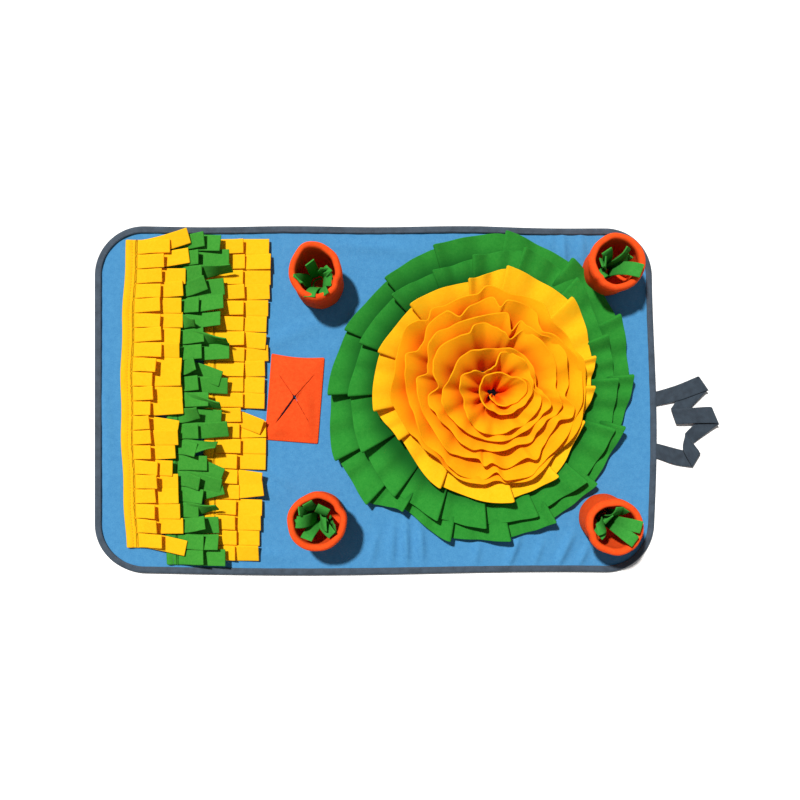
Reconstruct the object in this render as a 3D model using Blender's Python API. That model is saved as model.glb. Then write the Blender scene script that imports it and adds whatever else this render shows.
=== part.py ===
"""Snuffle mat for a dog: a bound fleece mat with three rows of folded fringe, a pleated
rosette, a slit patch, four cups with leaf tufts, and a carry strap lying in folds.

Frame: metres, origin at the centre of the mat's underside, +X towards the strap, +Z up.
"""
import math
import random
from dataclasses import dataclass

import bpy
from mathutils import Vector

CLEARANCE = 0.0003          # gap kept between pieces that touch
FLEECE = 0.002              # thickness of the fringe, ruffle and leaf fleece

# Mat and binding
MAT_LENGTH = 0.800
MAT_WIDTH = 0.496
MAT_CORNER = 0.070
MAT_THICKNESS = 0.003
BINDING_WIDTH = 0.0095
BINDING_TAPE = 0.0011
BINDING_HEIGHT = 0.0058
CORNER_STEPS = 5
LONG_SIDE_STEPS = 5
SHORT_SIDE_STEPS = 3

# Fringe rows, each one strip folded lengthwise with tabs cut in both layers
TAB_COUNT = 21
TAB_ROOT = 0.017            # from the fold to where the cuts start
UPPER_TAB_REACH = 0.057
LOWER_TAB_REACH = 0.088
CREST_REACH = 0.055         # where a row climbs over the next row's fold
LAYER_PITCH = 0.0026        # between the middles of the two layers

# Rosette
ROSETTE_CENTRE = (0.146, 0.019)
EYE_SHIFT = (0.016, -0.009)
SEAM_HEIGHT = MAT_THICKNESS + CLEARANCE + FLEECE / 2

# Cups
CUP_HEIGHT = 0.070
CUP_FACETS = 16
CUP_FLOOR = 0.0025

# Slit patch
PATCH_CENTRE = (-0.116, 0.002)
PATCH_SIZE = (0.0765, 0.124)
PATCH_TURN_DEG = -4.5

# Carry strap
STRAP_THICKNESS = 0.0015


@dataclass(frozen=True)
class Fleece:
    """A cloth finish: its colour and how dull it is."""
    name: str
    colour: tuple
    roughness: float = 0.95


BLUE = Fleece("blue_fleece", (0.08, 0.34, 0.70))
YELLOW = Fleece("yellow_fleece", (0.95, 0.52, 0.01))
GREEN = Fleece("green_fleece", (0.06, 0.38, 0.07))
ORANGE = Fleece("orange_fleece", (0.88, 0.12, 0.02))
SLATE = Fleece("slate_webbing", (0.07, 0.10, 0.14), 0.85)


# ---------------------------------------------------------------- shared helpers

def clear_scene():
    """Take every object out of the scene."""
    for item in list(bpy.data.objects):
        bpy.data.objects.remove(item, do_unlink=True)


def cloth_material(cloth):
    """The Principled material of a cloth, made once and then shared."""
    found = bpy.data.materials.get(cloth.name)
    if found:
        return found
    material = bpy.data.materials.new(cloth.name)
    material.use_nodes = True
    shader = material.node_tree.nodes["Principled BSDF"]
    shader.inputs["Base Color"].default_value = (*cloth.colour, 1.0)
    shader.inputs["Roughness"].default_value = cloth.roughness
    shader.inputs["Metallic"].default_value = 0.0
    return material


def add_mesh(name, points, faces, cloth, parent=None, location=(0, 0, 0), turn=0.0):
    """Add a mesh object with its material, place and parent."""
    mesh = bpy.data.meshes.new(name)
    mesh.from_pydata([tuple(point) for point in points], [], faces)
    mesh.update()
    item = bpy.data.objects.new(name, mesh)
    item.data.materials.append(cloth_material(cloth))
    item.location = location
    item.rotation_euler = (0, 0, turn)
    item.parent = parent
    bpy.context.collection.objects.link(item)
    return item


def add_empty(name, location):
    """Add a plain empty that pieces are parented to."""
    empty = bpy.data.objects.new(name, None)
    empty.location = location
    bpy.context.collection.objects.link(empty)
    return empty


def thicken(item, thickness):
    """Give a sheet of zero thickness its cloth thickness, half to each side."""
    solidify = item.modifiers.new("cloth_thickness", "SOLIDIFY")
    solidify.thickness = thickness
    solidify.offset = 0.0
    solidify.use_even_offset = True
    solidify.use_rim = True
    return item


def grid_faces(rows, columns, wrap_rows=False):
    """Quads of a rows x columns grid of points, the last row joined to the first on request."""
    faces = []
    for row in range(rows if wrap_rows else rows - 1):
        nearer = row * columns
        further = ((row + 1) % rows) * columns
        for column in range(columns - 1):
            faces.append((nearer + column, nearer + column + 1, further + column + 1, further + column))
    return faces


def loft(loops, wrap=False):
    """Points and faces of the surface through equal closed loops, capped unless it wraps round."""
    count = len(loops[0])
    points = [point for loop in loops for point in loop]
    faces = []
    for level in range(len(loops) if wrap else len(loops) - 1):
        low = level * count
        high = ((level + 1) % len(loops)) * count
        for index in range(count):
            after = (index + 1) % count
            faces.append((low + index, low + after, high + after, high + index))
    if not wrap:
        faces.append(tuple(reversed(range(count))))
        faces.append(tuple(range(len(points) - count, len(points))))
    return points, faces


def mix(first, second, share):
    """The value that lies a share of the way from first to second."""
    return first + (second - first) * share


# ---------------------------------------------------------------- mat and binding

def side_swell(x, y):
    """How far a rim point leaves the plain rectangle: the right side bulges low down, the
    bottom side bulges left of centre, and the top side draws in to the right."""
    along_x = (abs(x) / (MAT_LENGTH / 2)) ** 4
    along_y = (abs(y) / (MAT_WIDTH / 2)) ** 4
    if x > 0:
        shift_x = along_x * (0.0035 * math.cos(math.pi * (y + 0.05) / 0.25) - 0.002)
    else:
        shift_x = -along_x * 0.002
    if y > 0:
        shift_y = -along_y * 0.0025 * max(0.0, x - 0.15) / 0.15
    else:
        shift_y = -along_y * 0.0025 * math.cos(math.pi * (x + 0.11) / 0.37)
    return shift_x, shift_y


def rim_loop(inset, height):
    """The mat's rim drawn in by inset: four corner arcs with a few points along each side."""
    half = Vector((MAT_LENGTH / 2 - MAT_CORNER, MAT_WIDTH / 2 - MAT_CORNER))
    radius = MAT_CORNER - inset
    corners = ((1, 1), (-1, 1), (-1, -1), (1, -1))
    flat = []
    for quarter, (side_x, side_y) in enumerate(corners):
        for step in range(CORNER_STEPS + 1):
            angle = (quarter + step / CORNER_STEPS) * math.pi / 2
            flat.append(Vector((side_x * half.x + radius * math.cos(angle),
                                side_y * half.y + radius * math.sin(angle))))
        start = flat[-1]
        next_x, next_y = corners[(quarter + 1) % 4]
        turn = (quarter + 1) * math.pi / 2
        end = Vector((next_x * half.x + radius * math.cos(turn),
                      next_y * half.y + radius * math.sin(turn)))
        steps = LONG_SIDE_STEPS if quarter % 2 == 0 else SHORT_SIDE_STEPS
        flat += [start.lerp(end, step / steps) for step in range(1, steps)]
    loop = []
    for point in flat:
        shift_x, shift_y = side_swell(point.x, point.y)
        loop.append(Vector((point.x + shift_x, point.y + shift_y, height)))
    return loop


def wrinkle(points, faces, start, end, width, height):
    """Append one soft ridge, a tapered roof from start to end, sunk into the mat's top."""
    start, end = Vector(start), Vector(end)
    across = Vector((start.y - end.y, end.x - start.x)).normalized()
    sections = []
    for step in range(5):
        share = step / 4
        swell = math.sin(math.pi * share)
        middle = start.lerp(end, share)
        section = []
        for side, crest in ((-1.0, -0.5), (-0.3, 1.0), (0.3, 1.0), (1.0, -0.5)):
            spot = middle + across * side * mix(0.2, 1.0, swell) * width / 2
            rise = crest * height * swell if crest > 0 else -0.0008
            rise = rise if step not in (0, 4) else min(rise - 0.0004, -0.0004)
            section.append(Vector((spot.x, spot.y, MAT_THICKNESS + rise)))
        sections.append(section)
    ridge_points, ridge_faces = loft(sections)
    base = len(points)
    points += ridge_points
    faces += [tuple(base + index for index in face) for face in ridge_faces]


def build_mat(parent):
    """The mat's cloth, flat below, its rim lifted a little to enter the binding."""
    tuck = BINDING_TAPE + CLEARANCE
    rim = BINDING_TAPE + 0.0001 + CLEARANCE
    loops = [rim_loop(0.018, 0.0), rim_loop(BINDING_WIDTH + 0.001, tuck), rim_loop(rim, tuck),
             rim_loop(rim, tuck + MAT_THICKNESS), rim_loop(0.006, tuck + MAT_THICKNESS),
             rim_loop(BINDING_WIDTH + 0.001, MAT_THICKNESS)]
    points, faces = loft(loops)
    mat = add_mesh("mat_cloth", points, faces, BLUE, parent)

    ridge_points, ridge_faces = [], []
    wrinkles = (((0.030, -0.206), (0.026, -0.222), 0.010, 0.0016),
                ((0.050, -0.202), (0.058, -0.223), 0.012, 0.0018),
                ((0.268, -0.196), (0.322, -0.222), 0.014, 0.0020),
                ((0.282, 0.190), (0.276, 0.220), 0.012, 0.0018),
                ((-0.150, -0.096), (-0.124, -0.126), 0.012, 0.0012))
    for start, end, width, height in wrinkles:
        wrinkle(ridge_points, ridge_faces, start, end, width, height)
    ridges = add_mesh("wrinkle_helper", ridge_points, ridge_faces, BLUE, parent)
    ridges.hide_render = True
    ridges.display_type = "WIRE"
    union = mat.modifiers.new("wrinkles", "BOOLEAN")
    union.operation = "UNION"
    union.solver = "EXACT"
    union.object = ridges
    return mat


def build_binding(parent):
    """The tape folded round the mat's rim, a C in section."""
    tape, wide, high = BINDING_TAPE, BINDING_WIDTH, BINDING_HEIGHT
    section = ((wide, 0.0), (0.0005, 0.0), (0.0, high / 2), (0.0005, high), (wide, high),
               (wide, high - tape), (tape + 0.0001, high - tape), (tape + 0.0001, tape), (wide, tape))
    loops = [rim_loop(inset, height) for inset, height in section]
    points, faces = loft(loops, wrap=True)
    return add_mesh("edge_binding", points, faces, SLATE, parent)


# ---------------------------------------------------------------- fringe

@dataclass(frozen=True)
class FringeRow:
    """One folded strip: where its fold lies, how it bows and how high it climbs."""
    name: str
    fold_x: float
    low_y: float
    high_y: float
    bow: float
    climb: float
    tip_rise: float
    lean: float
    cloth: Fleece
    seed: int


FRINGE_ROWS = (
    FringeRow("fringe_row_1", -0.356, -0.212, 0.230, 0.008, 0.0065, 0.0036, 0.006, YELLOW, 3),
    FringeRow("fringe_row_2", -0.299, -0.236, 0.236, 0.000, 0.0065, 0.0010, -0.002, GREEN, 5),
    FringeRow("fringe_row_3", -0.246, -0.229, 0.229, 0.000, 0.0, 0.0020, -0.004, YELLOW, 8),
)


def tab_point(row, reach, along, height):
    """A point of a row, at a reach from the fold and a share along it from low to high."""
    y = mix(row.low_y, row.high_y, along)
    bow = -row.bow * math.sin(math.pi * along)
    return Vector((bow + reach, y, height))


def build_fringe_row(row, parent):
    """A comb folded on itself: an upper and a lower layer of tabs that share one fold."""
    lower = MAT_THICKNESS + CLEARANCE + FLEECE / 2
    upper = lower + LAYER_PITCH
    crest = lower + row.climb
    chance = random.Random(row.seed)
    points, faces = [], []

    def put(reach, along, height):
        points.append(tab_point(row, reach, along, height))
        return len(points) - 1

    band = ((TAB_ROOT, upper), (0.0, upper), (0.0, lower), (TAB_ROOT, lower))
    lines = [[put(reach, tab / TAB_COUNT, height) for reach, height in band]
             for tab in range(TAB_COUNT + 1)]
    notch = 0.0009 / (row.high_y - row.low_y)
    for tab in range(TAB_COUNT):
        left, right = lines[tab], lines[tab + 1]
        for step in range(3):
            faces.append((left[step], left[step + 1], right[step + 1], right[step]))
        sides = (tab / TAB_COUNT + notch, (tab + 1) / TAB_COUNT - notch)
        skew = row.lean * math.sin(math.pi * (0.2 + 1.6 * sides[0])) / (row.high_y - row.low_y)
        upper_reach = UPPER_TAB_REACH + chance.uniform(-0.004, 0.004)
        upper_tip = crest + LAYER_PITCH + chance.uniform(0.001, 0.004)
        lower_reach = LOWER_TAB_REACH + chance.uniform(-0.006, 0.004)
        lower_tip = crest + row.tip_rise + chance.uniform(0.0, 0.003)
        tip = [put(upper_reach, side + skew, upper_tip) for side in sides]
        faces.append((left[0], right[0], tip[1], tip[0]))
        knee = [put(CREST_REACH, side + skew * 0.5, crest) for side in sides]
        tip = [put(lower_reach, side + skew, lower_tip) for side in sides]
        faces.append((left[3], knee[0], knee[1], right[3]))
        faces.append((knee[0], tip[0], tip[1], knee[1]))
    item = add_mesh(row.name, points, faces, row.cloth, parent, (row.fold_x, 0, 0))
    return thicken(item, FLEECE)


# ---------------------------------------------------------------- rosette

@dataclass(frozen=True)
class Ruffle:
    """A gathered strip: seam and free edge radii, edge height, folds and their depth."""
    name: str
    seam: float
    edge: float
    rise: float
    folds: int
    depth: float
    shift: float
    cloth: Fleece


PLEATED_RUFFLES = (
    Ruffle("ruffle_green_outer", 0.146, 0.216, 0.0035, 16, 0.0045, 0.0, GREEN),
    Ruffle("ruffle_green_inner", 0.124, 0.191, 0.0120, 15, 0.0050, 0.0, GREEN),
    Ruffle("ruffle_yellow_1", 0.104, 0.163, 0.0240, 13, 0.0070, 0.15, YELLOW),
)
WAVED_RUFFLES = (
    Ruffle("ruffle_yellow_2", 0.088, 0.128, 0.047, 10, 0.0040, 0.30, YELLOW),
    Ruffle("ruffle_yellow_3", 0.074, 0.112, 0.049, 9, 0.0040, 0.45, YELLOW),
    Ruffle("ruffle_yellow_4", 0.060, 0.097, 0.050, 8, 0.0040, 0.60, YELLOW),
    Ruffle("ruffle_yellow_5", 0.047, 0.080, 0.052, 7, 0.0038, 0.70, YELLOW),
    Ruffle("ruffle_yellow_6", 0.035, 0.064, 0.054, 6, 0.0034, 0.80, YELLOW),
    Ruffle("ruffle_yellow_7", 0.023, 0.048, 0.056, 5, 0.0030, 0.90, YELLOW),
)
PLEAT_START_DEG = 183.0
PLEAT_CROWDING_DEG = 11.0   # pleats sit closer together at the lower right


def ruffle_profile(ruffle, angle, reach, lift):
    """Seam, middle and edge points of a ruffle at an angle, bowed up between them."""
    bearing = Vector((math.cos(angle), math.sin(angle), 0))
    shift = Vector((*EYE_SHIFT, 0)) * ruffle.shift
    profile = []
    for share in (0.0, 0.5, 1.0):
        radius = mix(ruffle.seam, ruffle.edge + reach, share)
        bow = 0.1 * ruffle.rise * math.sin(math.pi * share)
        height = SEAM_HEIGHT + share * (ruffle.rise + lift) + bow
        profile.append(bearing * radius + shift + Vector((0, 0, height)))
    return profile


def pleat_angle(ruffle, pleat):
    """The angle of a knife pleat, counted clockwise from the left."""
    even = 2 * math.pi * pleat / ruffle.folds
    crowding = math.radians(PLEAT_CROWDING_DEG) * (1 - math.cos(even))
    return math.radians(PLEAT_START_DEG) - even - crowding


def pleated_rows(ruffle):
    """Three profiles for each pleat: its proud lip, the trough beside it and the flat panel."""
    rows = []
    lip = math.radians(1.2)
    for pleat in range(ruffle.folds):
        here = pleat_angle(ruffle, pleat)
        ahead = pleat_angle(ruffle, pleat + 1)
        proud = 0.006 * math.cos(2.0 * pleat + ruffle.seam * 90)
        rows.append(ruffle_profile(ruffle, here + lip, 0.004 + proud, ruffle.depth))
        rows.append(ruffle_profile(ruffle, here - lip, -0.003 + proud, 0.0))
        rows.append(ruffle_profile(ruffle, (here + ahead) / 2, -0.004 + proud / 2, ruffle.depth * 0.5))
    return rows


def waved_rows(ruffle):
    """Profiles of a standing ruffle whose edge waves in and out and up and down."""
    rows = []
    count = ruffle.folds * 4 - 4
    for step in range(count):
        angle = -2 * math.pi * step / count
        phase = ruffle.seam * 700
        reach = ruffle.depth * (0.75 * math.cos(ruffle.folds * angle + phase)
                                + 0.25 * math.cos(3 * angle - phase))
        lift = 0.0035 * math.sin((ruffle.folds - 2) * angle + 2 * phase)
        rows.append(ruffle_profile(ruffle, angle, reach, lift))
    return rows


def build_ruffle(ruffle, rows, parent):
    """A closed ring of gathered fleece sewn down along its inner edge."""
    points = [point for row in rows for point in row]
    faces = grid_faces(len(rows), 3, wrap_rows=True)
    item = add_mesh(ruffle.name, points, faces, ruffle.cloth, parent)
    return thicken(item, FLEECE)


def build_heart(parent):
    """The innermost strip, rolled a turn and a third into a bud."""
    points = []
    turns, count = 1.35, 19
    shift = Vector((*EYE_SHIFT, 0))
    for step in range(count):
        share = step / (count - 1)
        angle = math.radians(200) - 2 * math.pi * turns * share
        bearing = Vector((math.cos(angle), math.sin(angle), 0))
        seam = mix(0.0125, 0.0050, share)
        edge = mix(0.0290, 0.0120, share) + 0.0012 * math.cos(4 * angle)
        for height_share in (0.0, 0.5, 1.0):
            radius = mix(seam, edge, height_share ** 1.3)
            height = SEAM_HEIGHT + height_share * mix(0.060, 0.054, share)
            points.append(bearing * radius + shift + Vector((0, 0, height)))
    item = add_mesh("ruffle_heart", points, grid_faces(count, 3), YELLOW, parent)
    return thicken(item, FLEECE)


# ---------------------------------------------------------------- slit patch

def build_patch(parent):
    """An oblong of fleece with an X cut in it, one arm of the cut gaping."""
    half_x, half_y = PATCH_SIZE[0] / 2, PATCH_SIZE[1] / 2
    flat = SEAM_HEIGHT
    rim = ((-half_x, -half_y), (0, -half_y), (half_x, -half_y), (half_x, 0),
           (half_x, half_y), (0, half_y - 0.003), (-half_x, half_y), (-half_x, 0))
    cut = ((0.026, 0.037), (0.0035, 0.0025), (0.028, -0.036), (0.0012, -0.0032),
           (-0.009, -0.022), (-0.024, -0.038), (-0.015, -0.017), (-0.0028, 0.0008),
           (-0.027, 0.035), (0.0010, 0.0062))
    lifted = (0.0, 0.0028, 0.0, 0.0035, 0.0030, 0.0, 0.0030, 0.0022, 0.0, 0.0030)
    points = [Vector((x, y, flat)) for x, y in rim]
    points += [Vector((x, y, flat + rise)) for (x, y), rise in zip(cut, lifted)]
    first = len(rim)
    faces = [(2, 3, first + 2), (3, first + 1, first + 2), (3, first, first + 1), (3, 4, first),
             (4, 5, first), (5, first + 9, first), (5, first + 8, first + 9), (5, 6, first + 8),
             (6, 7, first + 8), (7, first + 7, first + 8), (7, first + 6, first + 7),
             (7, first + 5, first + 6), (7, 0, first + 5), (0, 1, first + 5), (1, first + 4, first + 5),
             (1, first + 3, first + 4), (1, first + 2, first + 3), (1, 2, first + 2)]
    location = (*PATCH_CENTRE, 0)
    item = add_mesh("slit_patch", points, faces, ORANGE, parent, location, math.radians(PATCH_TURN_DEG))
    return thicken(item, FLEECE)


# ---------------------------------------------------------------- cups and leaf tufts

@dataclass(frozen=True)
class Cup:
    """A cup's place, how far it is squashed and leans, and the leaves that stand in it."""
    number: int
    x: float
    y: float
    oval: float
    oval_deg: float
    corner: float
    spread: float
    lean: tuple
    leaves: int
    leaf_start_deg: float
    over_rim: tuple


CUPS = (
    Cup(1, -0.079, 0.1595, 0.05, 90, 0.01, 0.00, (-0.02, 0.18), 6, 200, ()),
    Cup(2, 0.328, 0.183, 0.03, 45, 0.04, 0.01, (0.03, 0.03), 5, 215, (4,)),
    Cup(3, -0.081, -0.163, 0.03, 100, 0.01, 0.05, (0.02, -0.03), 6, 60, ()),
    Cup(4, 0.322, -0.167, 0.04, 30, 0.02, 0.01, (0.06, -0.05), 5, 110, (3, 4)),
)
CUP_PROFILE = ((0.0310, 0.0), (0.0340, 0.030), (0.0350, 0.057), (0.0385, 0.062),
               (0.0355, CUP_HEIGHT), (0.0305, 0.065), (0.0315, 0.050), (0.0295, CUP_FLOOR))


def cup_point(cup, radius, angle, height):
    """A point of a squashed, leaning cup, in the cup's own frame."""
    share = height / CUP_HEIGHT
    squash = cup.oval * math.cos(2 * (angle - math.radians(cup.oval_deg)))
    squash += cup.corner * math.cos(3 * (angle - math.radians(70)))
    radius *= 1 + (squash + cup.spread) * share
    return Vector((radius * math.cos(angle) + cup.lean[0] * height,
                   radius * math.sin(angle) + cup.lean[1] * height, height))


def build_cup(cup, parent):
    """A fleece cup with a rolled cuff, open at the top."""
    loops = []
    for radius, height in CUP_PROFILE:
        turn = [2 * math.pi * facet / CUP_FACETS for facet in range(CUP_FACETS)]
        loops.append([cup_point(cup, radius, angle, height) for angle in turn])
    points, faces = loft(loops)
    return add_mesh(f"cup_{cup.number}", points, faces, ORANGE, parent)


def leaf_route(kind, tall):
    """Radius and height of a leaf from its root band to its tip."""
    if kind == "over":
        return ((0.0250, 0.046), (0.0262, 0.0745), (0.0440, 0.0760))
    if kind == "in":
        return ((0.0245, 0.040), (0.0225, 0.052 + tall), (0.0165, 0.060 + tall))
    return ((0.0245, 0.040), (0.0245, 0.056 + tall), (0.0262, 0.064 + tall))


def build_tuft(cup, parent):
    """Leaves cut in one strip, rolled round the inside of a cup and standing on its floor."""
    step = math.radians(38)
    start = math.radians(cup.leaf_start_deg)
    floor = CUP_FLOOR + 2 * CLEARANCE
    radius, band_top = 0.0245, 0.014
    points, faces = [], []

    def put(distance, angle, height):
        points.append(cup_point(cup, distance, angle, height))
        return len(points) - 1

    lines = [(put(radius, start + step * leaf, floor), put(radius, start + step * leaf, band_top))
             for leaf in range(cup.leaves + 1)]
    for leaf in range(cup.leaves):
        left, right = lines[leaf], lines[leaf + 1]
        faces.append((left[0], right[0], right[1], left[1]))
        kind = "over" if leaf in cup.over_rim else ("in", "out")[leaf % 2]
        below = (left[1], right[1])
        slope = 0.002 * math.cos(2.4 * leaf + cup.number)
        for distance, height in leaf_route(kind, slope):
            notch = math.radians(1.6 if distance > 0.02 else 3.0)
            angles = (start + step * leaf + notch, start + step * (leaf + 1) - notch)
            above = tuple(put(distance, angle, height) for angle in angles)
            faces.append((below[0], below[1], above[1], above[0]))
            below = above
    item = add_mesh(f"leaf_tuft_{cup.number}", points, faces, GREEN, parent)
    return thicken(item, FLEECE)


# ---------------------------------------------------------------- carry strap

STRAP_STATIONS = (
    # both edges of the webbing and their height, from its upper end to its lower end
    ((0.4022, 0.0130), (0.4022, -0.0080), 0.0030),
    ((0.4300, 0.0210), (0.4360, -0.0010), 0.0060),
    ((0.4560, 0.0330), (0.4700, 0.0135), 0.0125),
    ((0.4585, 0.0322), (0.4723, 0.0127), 0.0105),
    ((0.4560, 0.0310), (0.4700, 0.0115), 0.0085),
    ((0.4340, 0.0100), (0.4500, -0.0090), 0.0045),
    ((0.4235, -0.0110), (0.4320, -0.0320), 0.0030),
    ((0.4212, -0.0115), (0.4300, -0.0335), 0.0052),
    ((0.4235, -0.0125), (0.4320, -0.0340), 0.0074),
    ((0.4500, -0.0115), (0.4580, -0.0330), 0.0100),
    ((0.4750, -0.0105), (0.4855, -0.0340), 0.0125),
    ((0.4775, -0.0112), (0.4880, -0.0350), 0.0103),
    ((0.4750, -0.0130), (0.4855, -0.0370), 0.0082),
    ((0.4580, -0.0320), (0.4720, -0.0480), 0.0052),
    ((0.4440, -0.0460), (0.4560, -0.0600), 0.0036),
    ((0.4418, -0.0475), (0.4535, -0.0620), 0.0056),
    ((0.4400, -0.0520), (0.4555, -0.0655), 0.0076),
    ((0.4370, -0.0720), (0.4590, -0.0715), 0.0090),
    ((0.4500, -0.0930), (0.4610, -0.0735), 0.0086),
    ((0.4515, -0.0945), (0.4628, -0.0745), 0.0062),
    ((0.4490, -0.0955), (0.4600, -0.0755), 0.0040),
    ((0.4270, -0.0930), (0.4330, -0.0690), 0.0032),
    ((0.4024, -0.0840), (0.4024, -0.0620), 0.0030),
)


def build_strap(parent):
    """One length of webbing, both ends at the mat's right edge, lying in flat folds."""
    points = []
    for first, second, height in STRAP_STATIONS:
        points.append(Vector((*first, height)))
        points.append(Vector((*second, height)))
    item = add_mesh("carry_strap", points, grid_faces(len(STRAP_STATIONS), 2), SLATE, parent)
    return thicken(item, STRAP_THICKNESS)


# ---------------------------------------------------------------- the whole mat

def build():
    """Make every piece of the mat."""
    clear_scene()
    origin = add_empty("mat_origin", (0, 0, 0))
    build_mat(origin)
    build_binding(origin)
    build_strap(origin)
    build_patch(origin)
    for row in FRINGE_ROWS:
        build_fringe_row(row, origin)

    rosette = add_empty("rosette_centre", (*ROSETTE_CENTRE, 0))
    rosette.parent = origin
    for ruffle in PLEATED_RUFFLES:
        build_ruffle(ruffle, pleated_rows(ruffle), rosette)
    for ruffle in WAVED_RUFFLES:
        build_ruffle(ruffle, waved_rows(ruffle), rosette)
    build_heart(rosette)

    for cup in CUPS:
        place = add_empty(f"cup_place_{cup.number}", (cup.x, cup.y, MAT_THICKNESS + CLEARANCE))
        place.parent = origin
        build_cup(cup, place)
        build_tuft(cup, place)


build()
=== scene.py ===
"""Looks of the snuffle mat: fleece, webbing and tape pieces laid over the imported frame."""
import logging
import math
import random
from dataclasses import dataclass, field
from enum import Enum

import bpy
import numpy as np
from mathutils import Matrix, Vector
from mathutils.geometry import delaunay_2d_cdt


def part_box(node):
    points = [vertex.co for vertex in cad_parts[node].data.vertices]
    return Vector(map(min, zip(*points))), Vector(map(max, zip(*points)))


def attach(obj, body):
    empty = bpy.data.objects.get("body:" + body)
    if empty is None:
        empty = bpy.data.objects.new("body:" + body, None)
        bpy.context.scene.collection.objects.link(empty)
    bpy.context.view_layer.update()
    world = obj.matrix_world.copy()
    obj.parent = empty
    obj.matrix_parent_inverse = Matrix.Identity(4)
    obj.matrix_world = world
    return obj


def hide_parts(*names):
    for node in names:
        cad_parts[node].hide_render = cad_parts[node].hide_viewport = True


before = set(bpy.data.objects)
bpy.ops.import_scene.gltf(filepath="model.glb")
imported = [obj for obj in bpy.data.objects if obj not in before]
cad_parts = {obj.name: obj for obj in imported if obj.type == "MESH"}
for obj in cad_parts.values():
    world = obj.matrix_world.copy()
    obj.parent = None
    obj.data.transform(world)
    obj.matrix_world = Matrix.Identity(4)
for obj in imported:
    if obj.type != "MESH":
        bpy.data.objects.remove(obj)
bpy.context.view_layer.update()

LOG = logging.getLogger("snuffle_mat")

MM = 0.001
FLEECE_THICK = 2.0 * MM
MAT_TOP = 3.0 * MM
LAYER_PITCH = 2.6 * MM
WAVE_BANDS = 3.2            # bands that a wave texture draws in one unit of its scale
BODY = "root"


# ------------------------------------------------------------------ small helpers

def linear(hex_code: str) -> tuple[float, float, float]:
    """Turn an sRGB hex colour into linear light.

    Args:
        hex_code: Six hex digits, such as "FFC80A".

    Returns:
        Red, green and blue from 0 to 1.
    """
    channels = [int(hex_code[at:at + 2], 16) / 255 for at in (0, 2, 4)]
    return tuple(c / 12.92 if c <= 0.04045 else ((c + 0.055) / 1.055) ** 2.4 for c in channels)


def ease(share: float) -> float:
    """The smooth step from 0 to 1 at a share."""
    share = min(1.0, max(0.0, share))
    return share * share * (3 - 2 * share)


def blend(first: float, second: float, share: float) -> float:
    """The value a share of the way from first to second."""
    return first + (second - first) * share


def along(values: tuple[float, ...], share: float) -> float:
    """Read a short list of evenly spaced values at a share from 0 to 1, smoothly.

    Args:
        values: Two or more values.
        share: Where to read, 0 at the first value and 1 at the last.

    Returns:
        The eased value between the two nearest entries.
    """
    place = min(1.0, max(0.0, share)) * (len(values) - 1)
    low = min(int(place), len(values) - 2)
    return blend(values[low], values[low + 1], ease(place - low))


def around(values: tuple[float, ...], angle: float) -> float:
    """Read evenly spaced values round a closed ring at an angle, by a smooth cubic.

    Args:
        values: The ring's values, the first at angle 0, counted anticlockwise.
        angle: Angle in radians.

    Returns:
        The interpolated value.
    """
    count = len(values)
    place = (angle / (2 * math.pi)) % 1.0 * count
    low = int(place)
    return cubic(tuple(values[(low + step) % count] for step in (-1, 0, 1, 2)), place - low)


def outline(marks: tuple[tuple[float, float], ...], angle: float) -> float:
    """Read a closed outline, given as bearing and reach, at an angle.

    Args:
        marks: Pairs of degrees, rising from 0 to 360, and millimetres.
        angle: Angle in radians.

    Returns:
        The eased reach in metres.
    """
    degrees = math.degrees(angle) % 360
    turned = [(marks[-1][0] - 360, marks[-1][1]), *marks, (marks[0][0] + 360, marks[0][1])]
    for (start, first), (end, second) in zip(turned, turned[1:]):
        if degrees <= end:
            return blend(first, second, ease((degrees - start) / (end - start))) * MM
    return marks[0][1] * MM


def box_centre(node: str) -> Vector:
    """The middle of a CAD node's box."""
    low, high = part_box(node)
    return (Vector(low) + Vector(high)) / 2


def cubic(points: tuple, share: float) -> float | Vector:
    """The smooth curve between the middle two of four evenly spaced numbers or points.

    Args:
        points: Four numbers, or four points.
        share: Where to read, 0 at the second and 1 at the third.

    Returns:
        The number or point there.
    """
    p0, p1, p2, p3 = points
    bend = 2 * p0 - 5 * p1 + 4 * p2 - p3 + share * (3 * (p1 - p2) + p3 - p0)
    return p1 + 0.5 * share * (p2 - p0 + share * bend)


def add_node(tree: bpy.types.NodeTree, kind: str, values: dict | None = None,
             settings: dict | None = None, links: dict | None = None) -> bpy.types.Node:
    """Add a shader node with its settings, socket values and incoming links.

    Args:
        tree: The node tree to add to.
        kind: The node's type name without "ShaderNode".
        values: Input socket name or index to default value.
        settings: Node property to value.
        links: Input socket name or index to the output socket that feeds it.

    Returns:
        The new node.
    """
    node = tree.nodes.new("ShaderNode" + kind)
    for name, value in (settings or {}).items():
        setattr(node, name, value)
    for socket, value in (values or {}).items():
        node.inputs[socket].default_value = value
    for socket, source in (links or {}).items():
        tree.links.new(source, node.inputs[socket])
    return node


# ------------------------------------------------------------------ finishes

class Weave(Enum):
    """How a tape is woven."""
    PLAIN = "plain"
    RIBBED = "ribbed"


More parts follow.
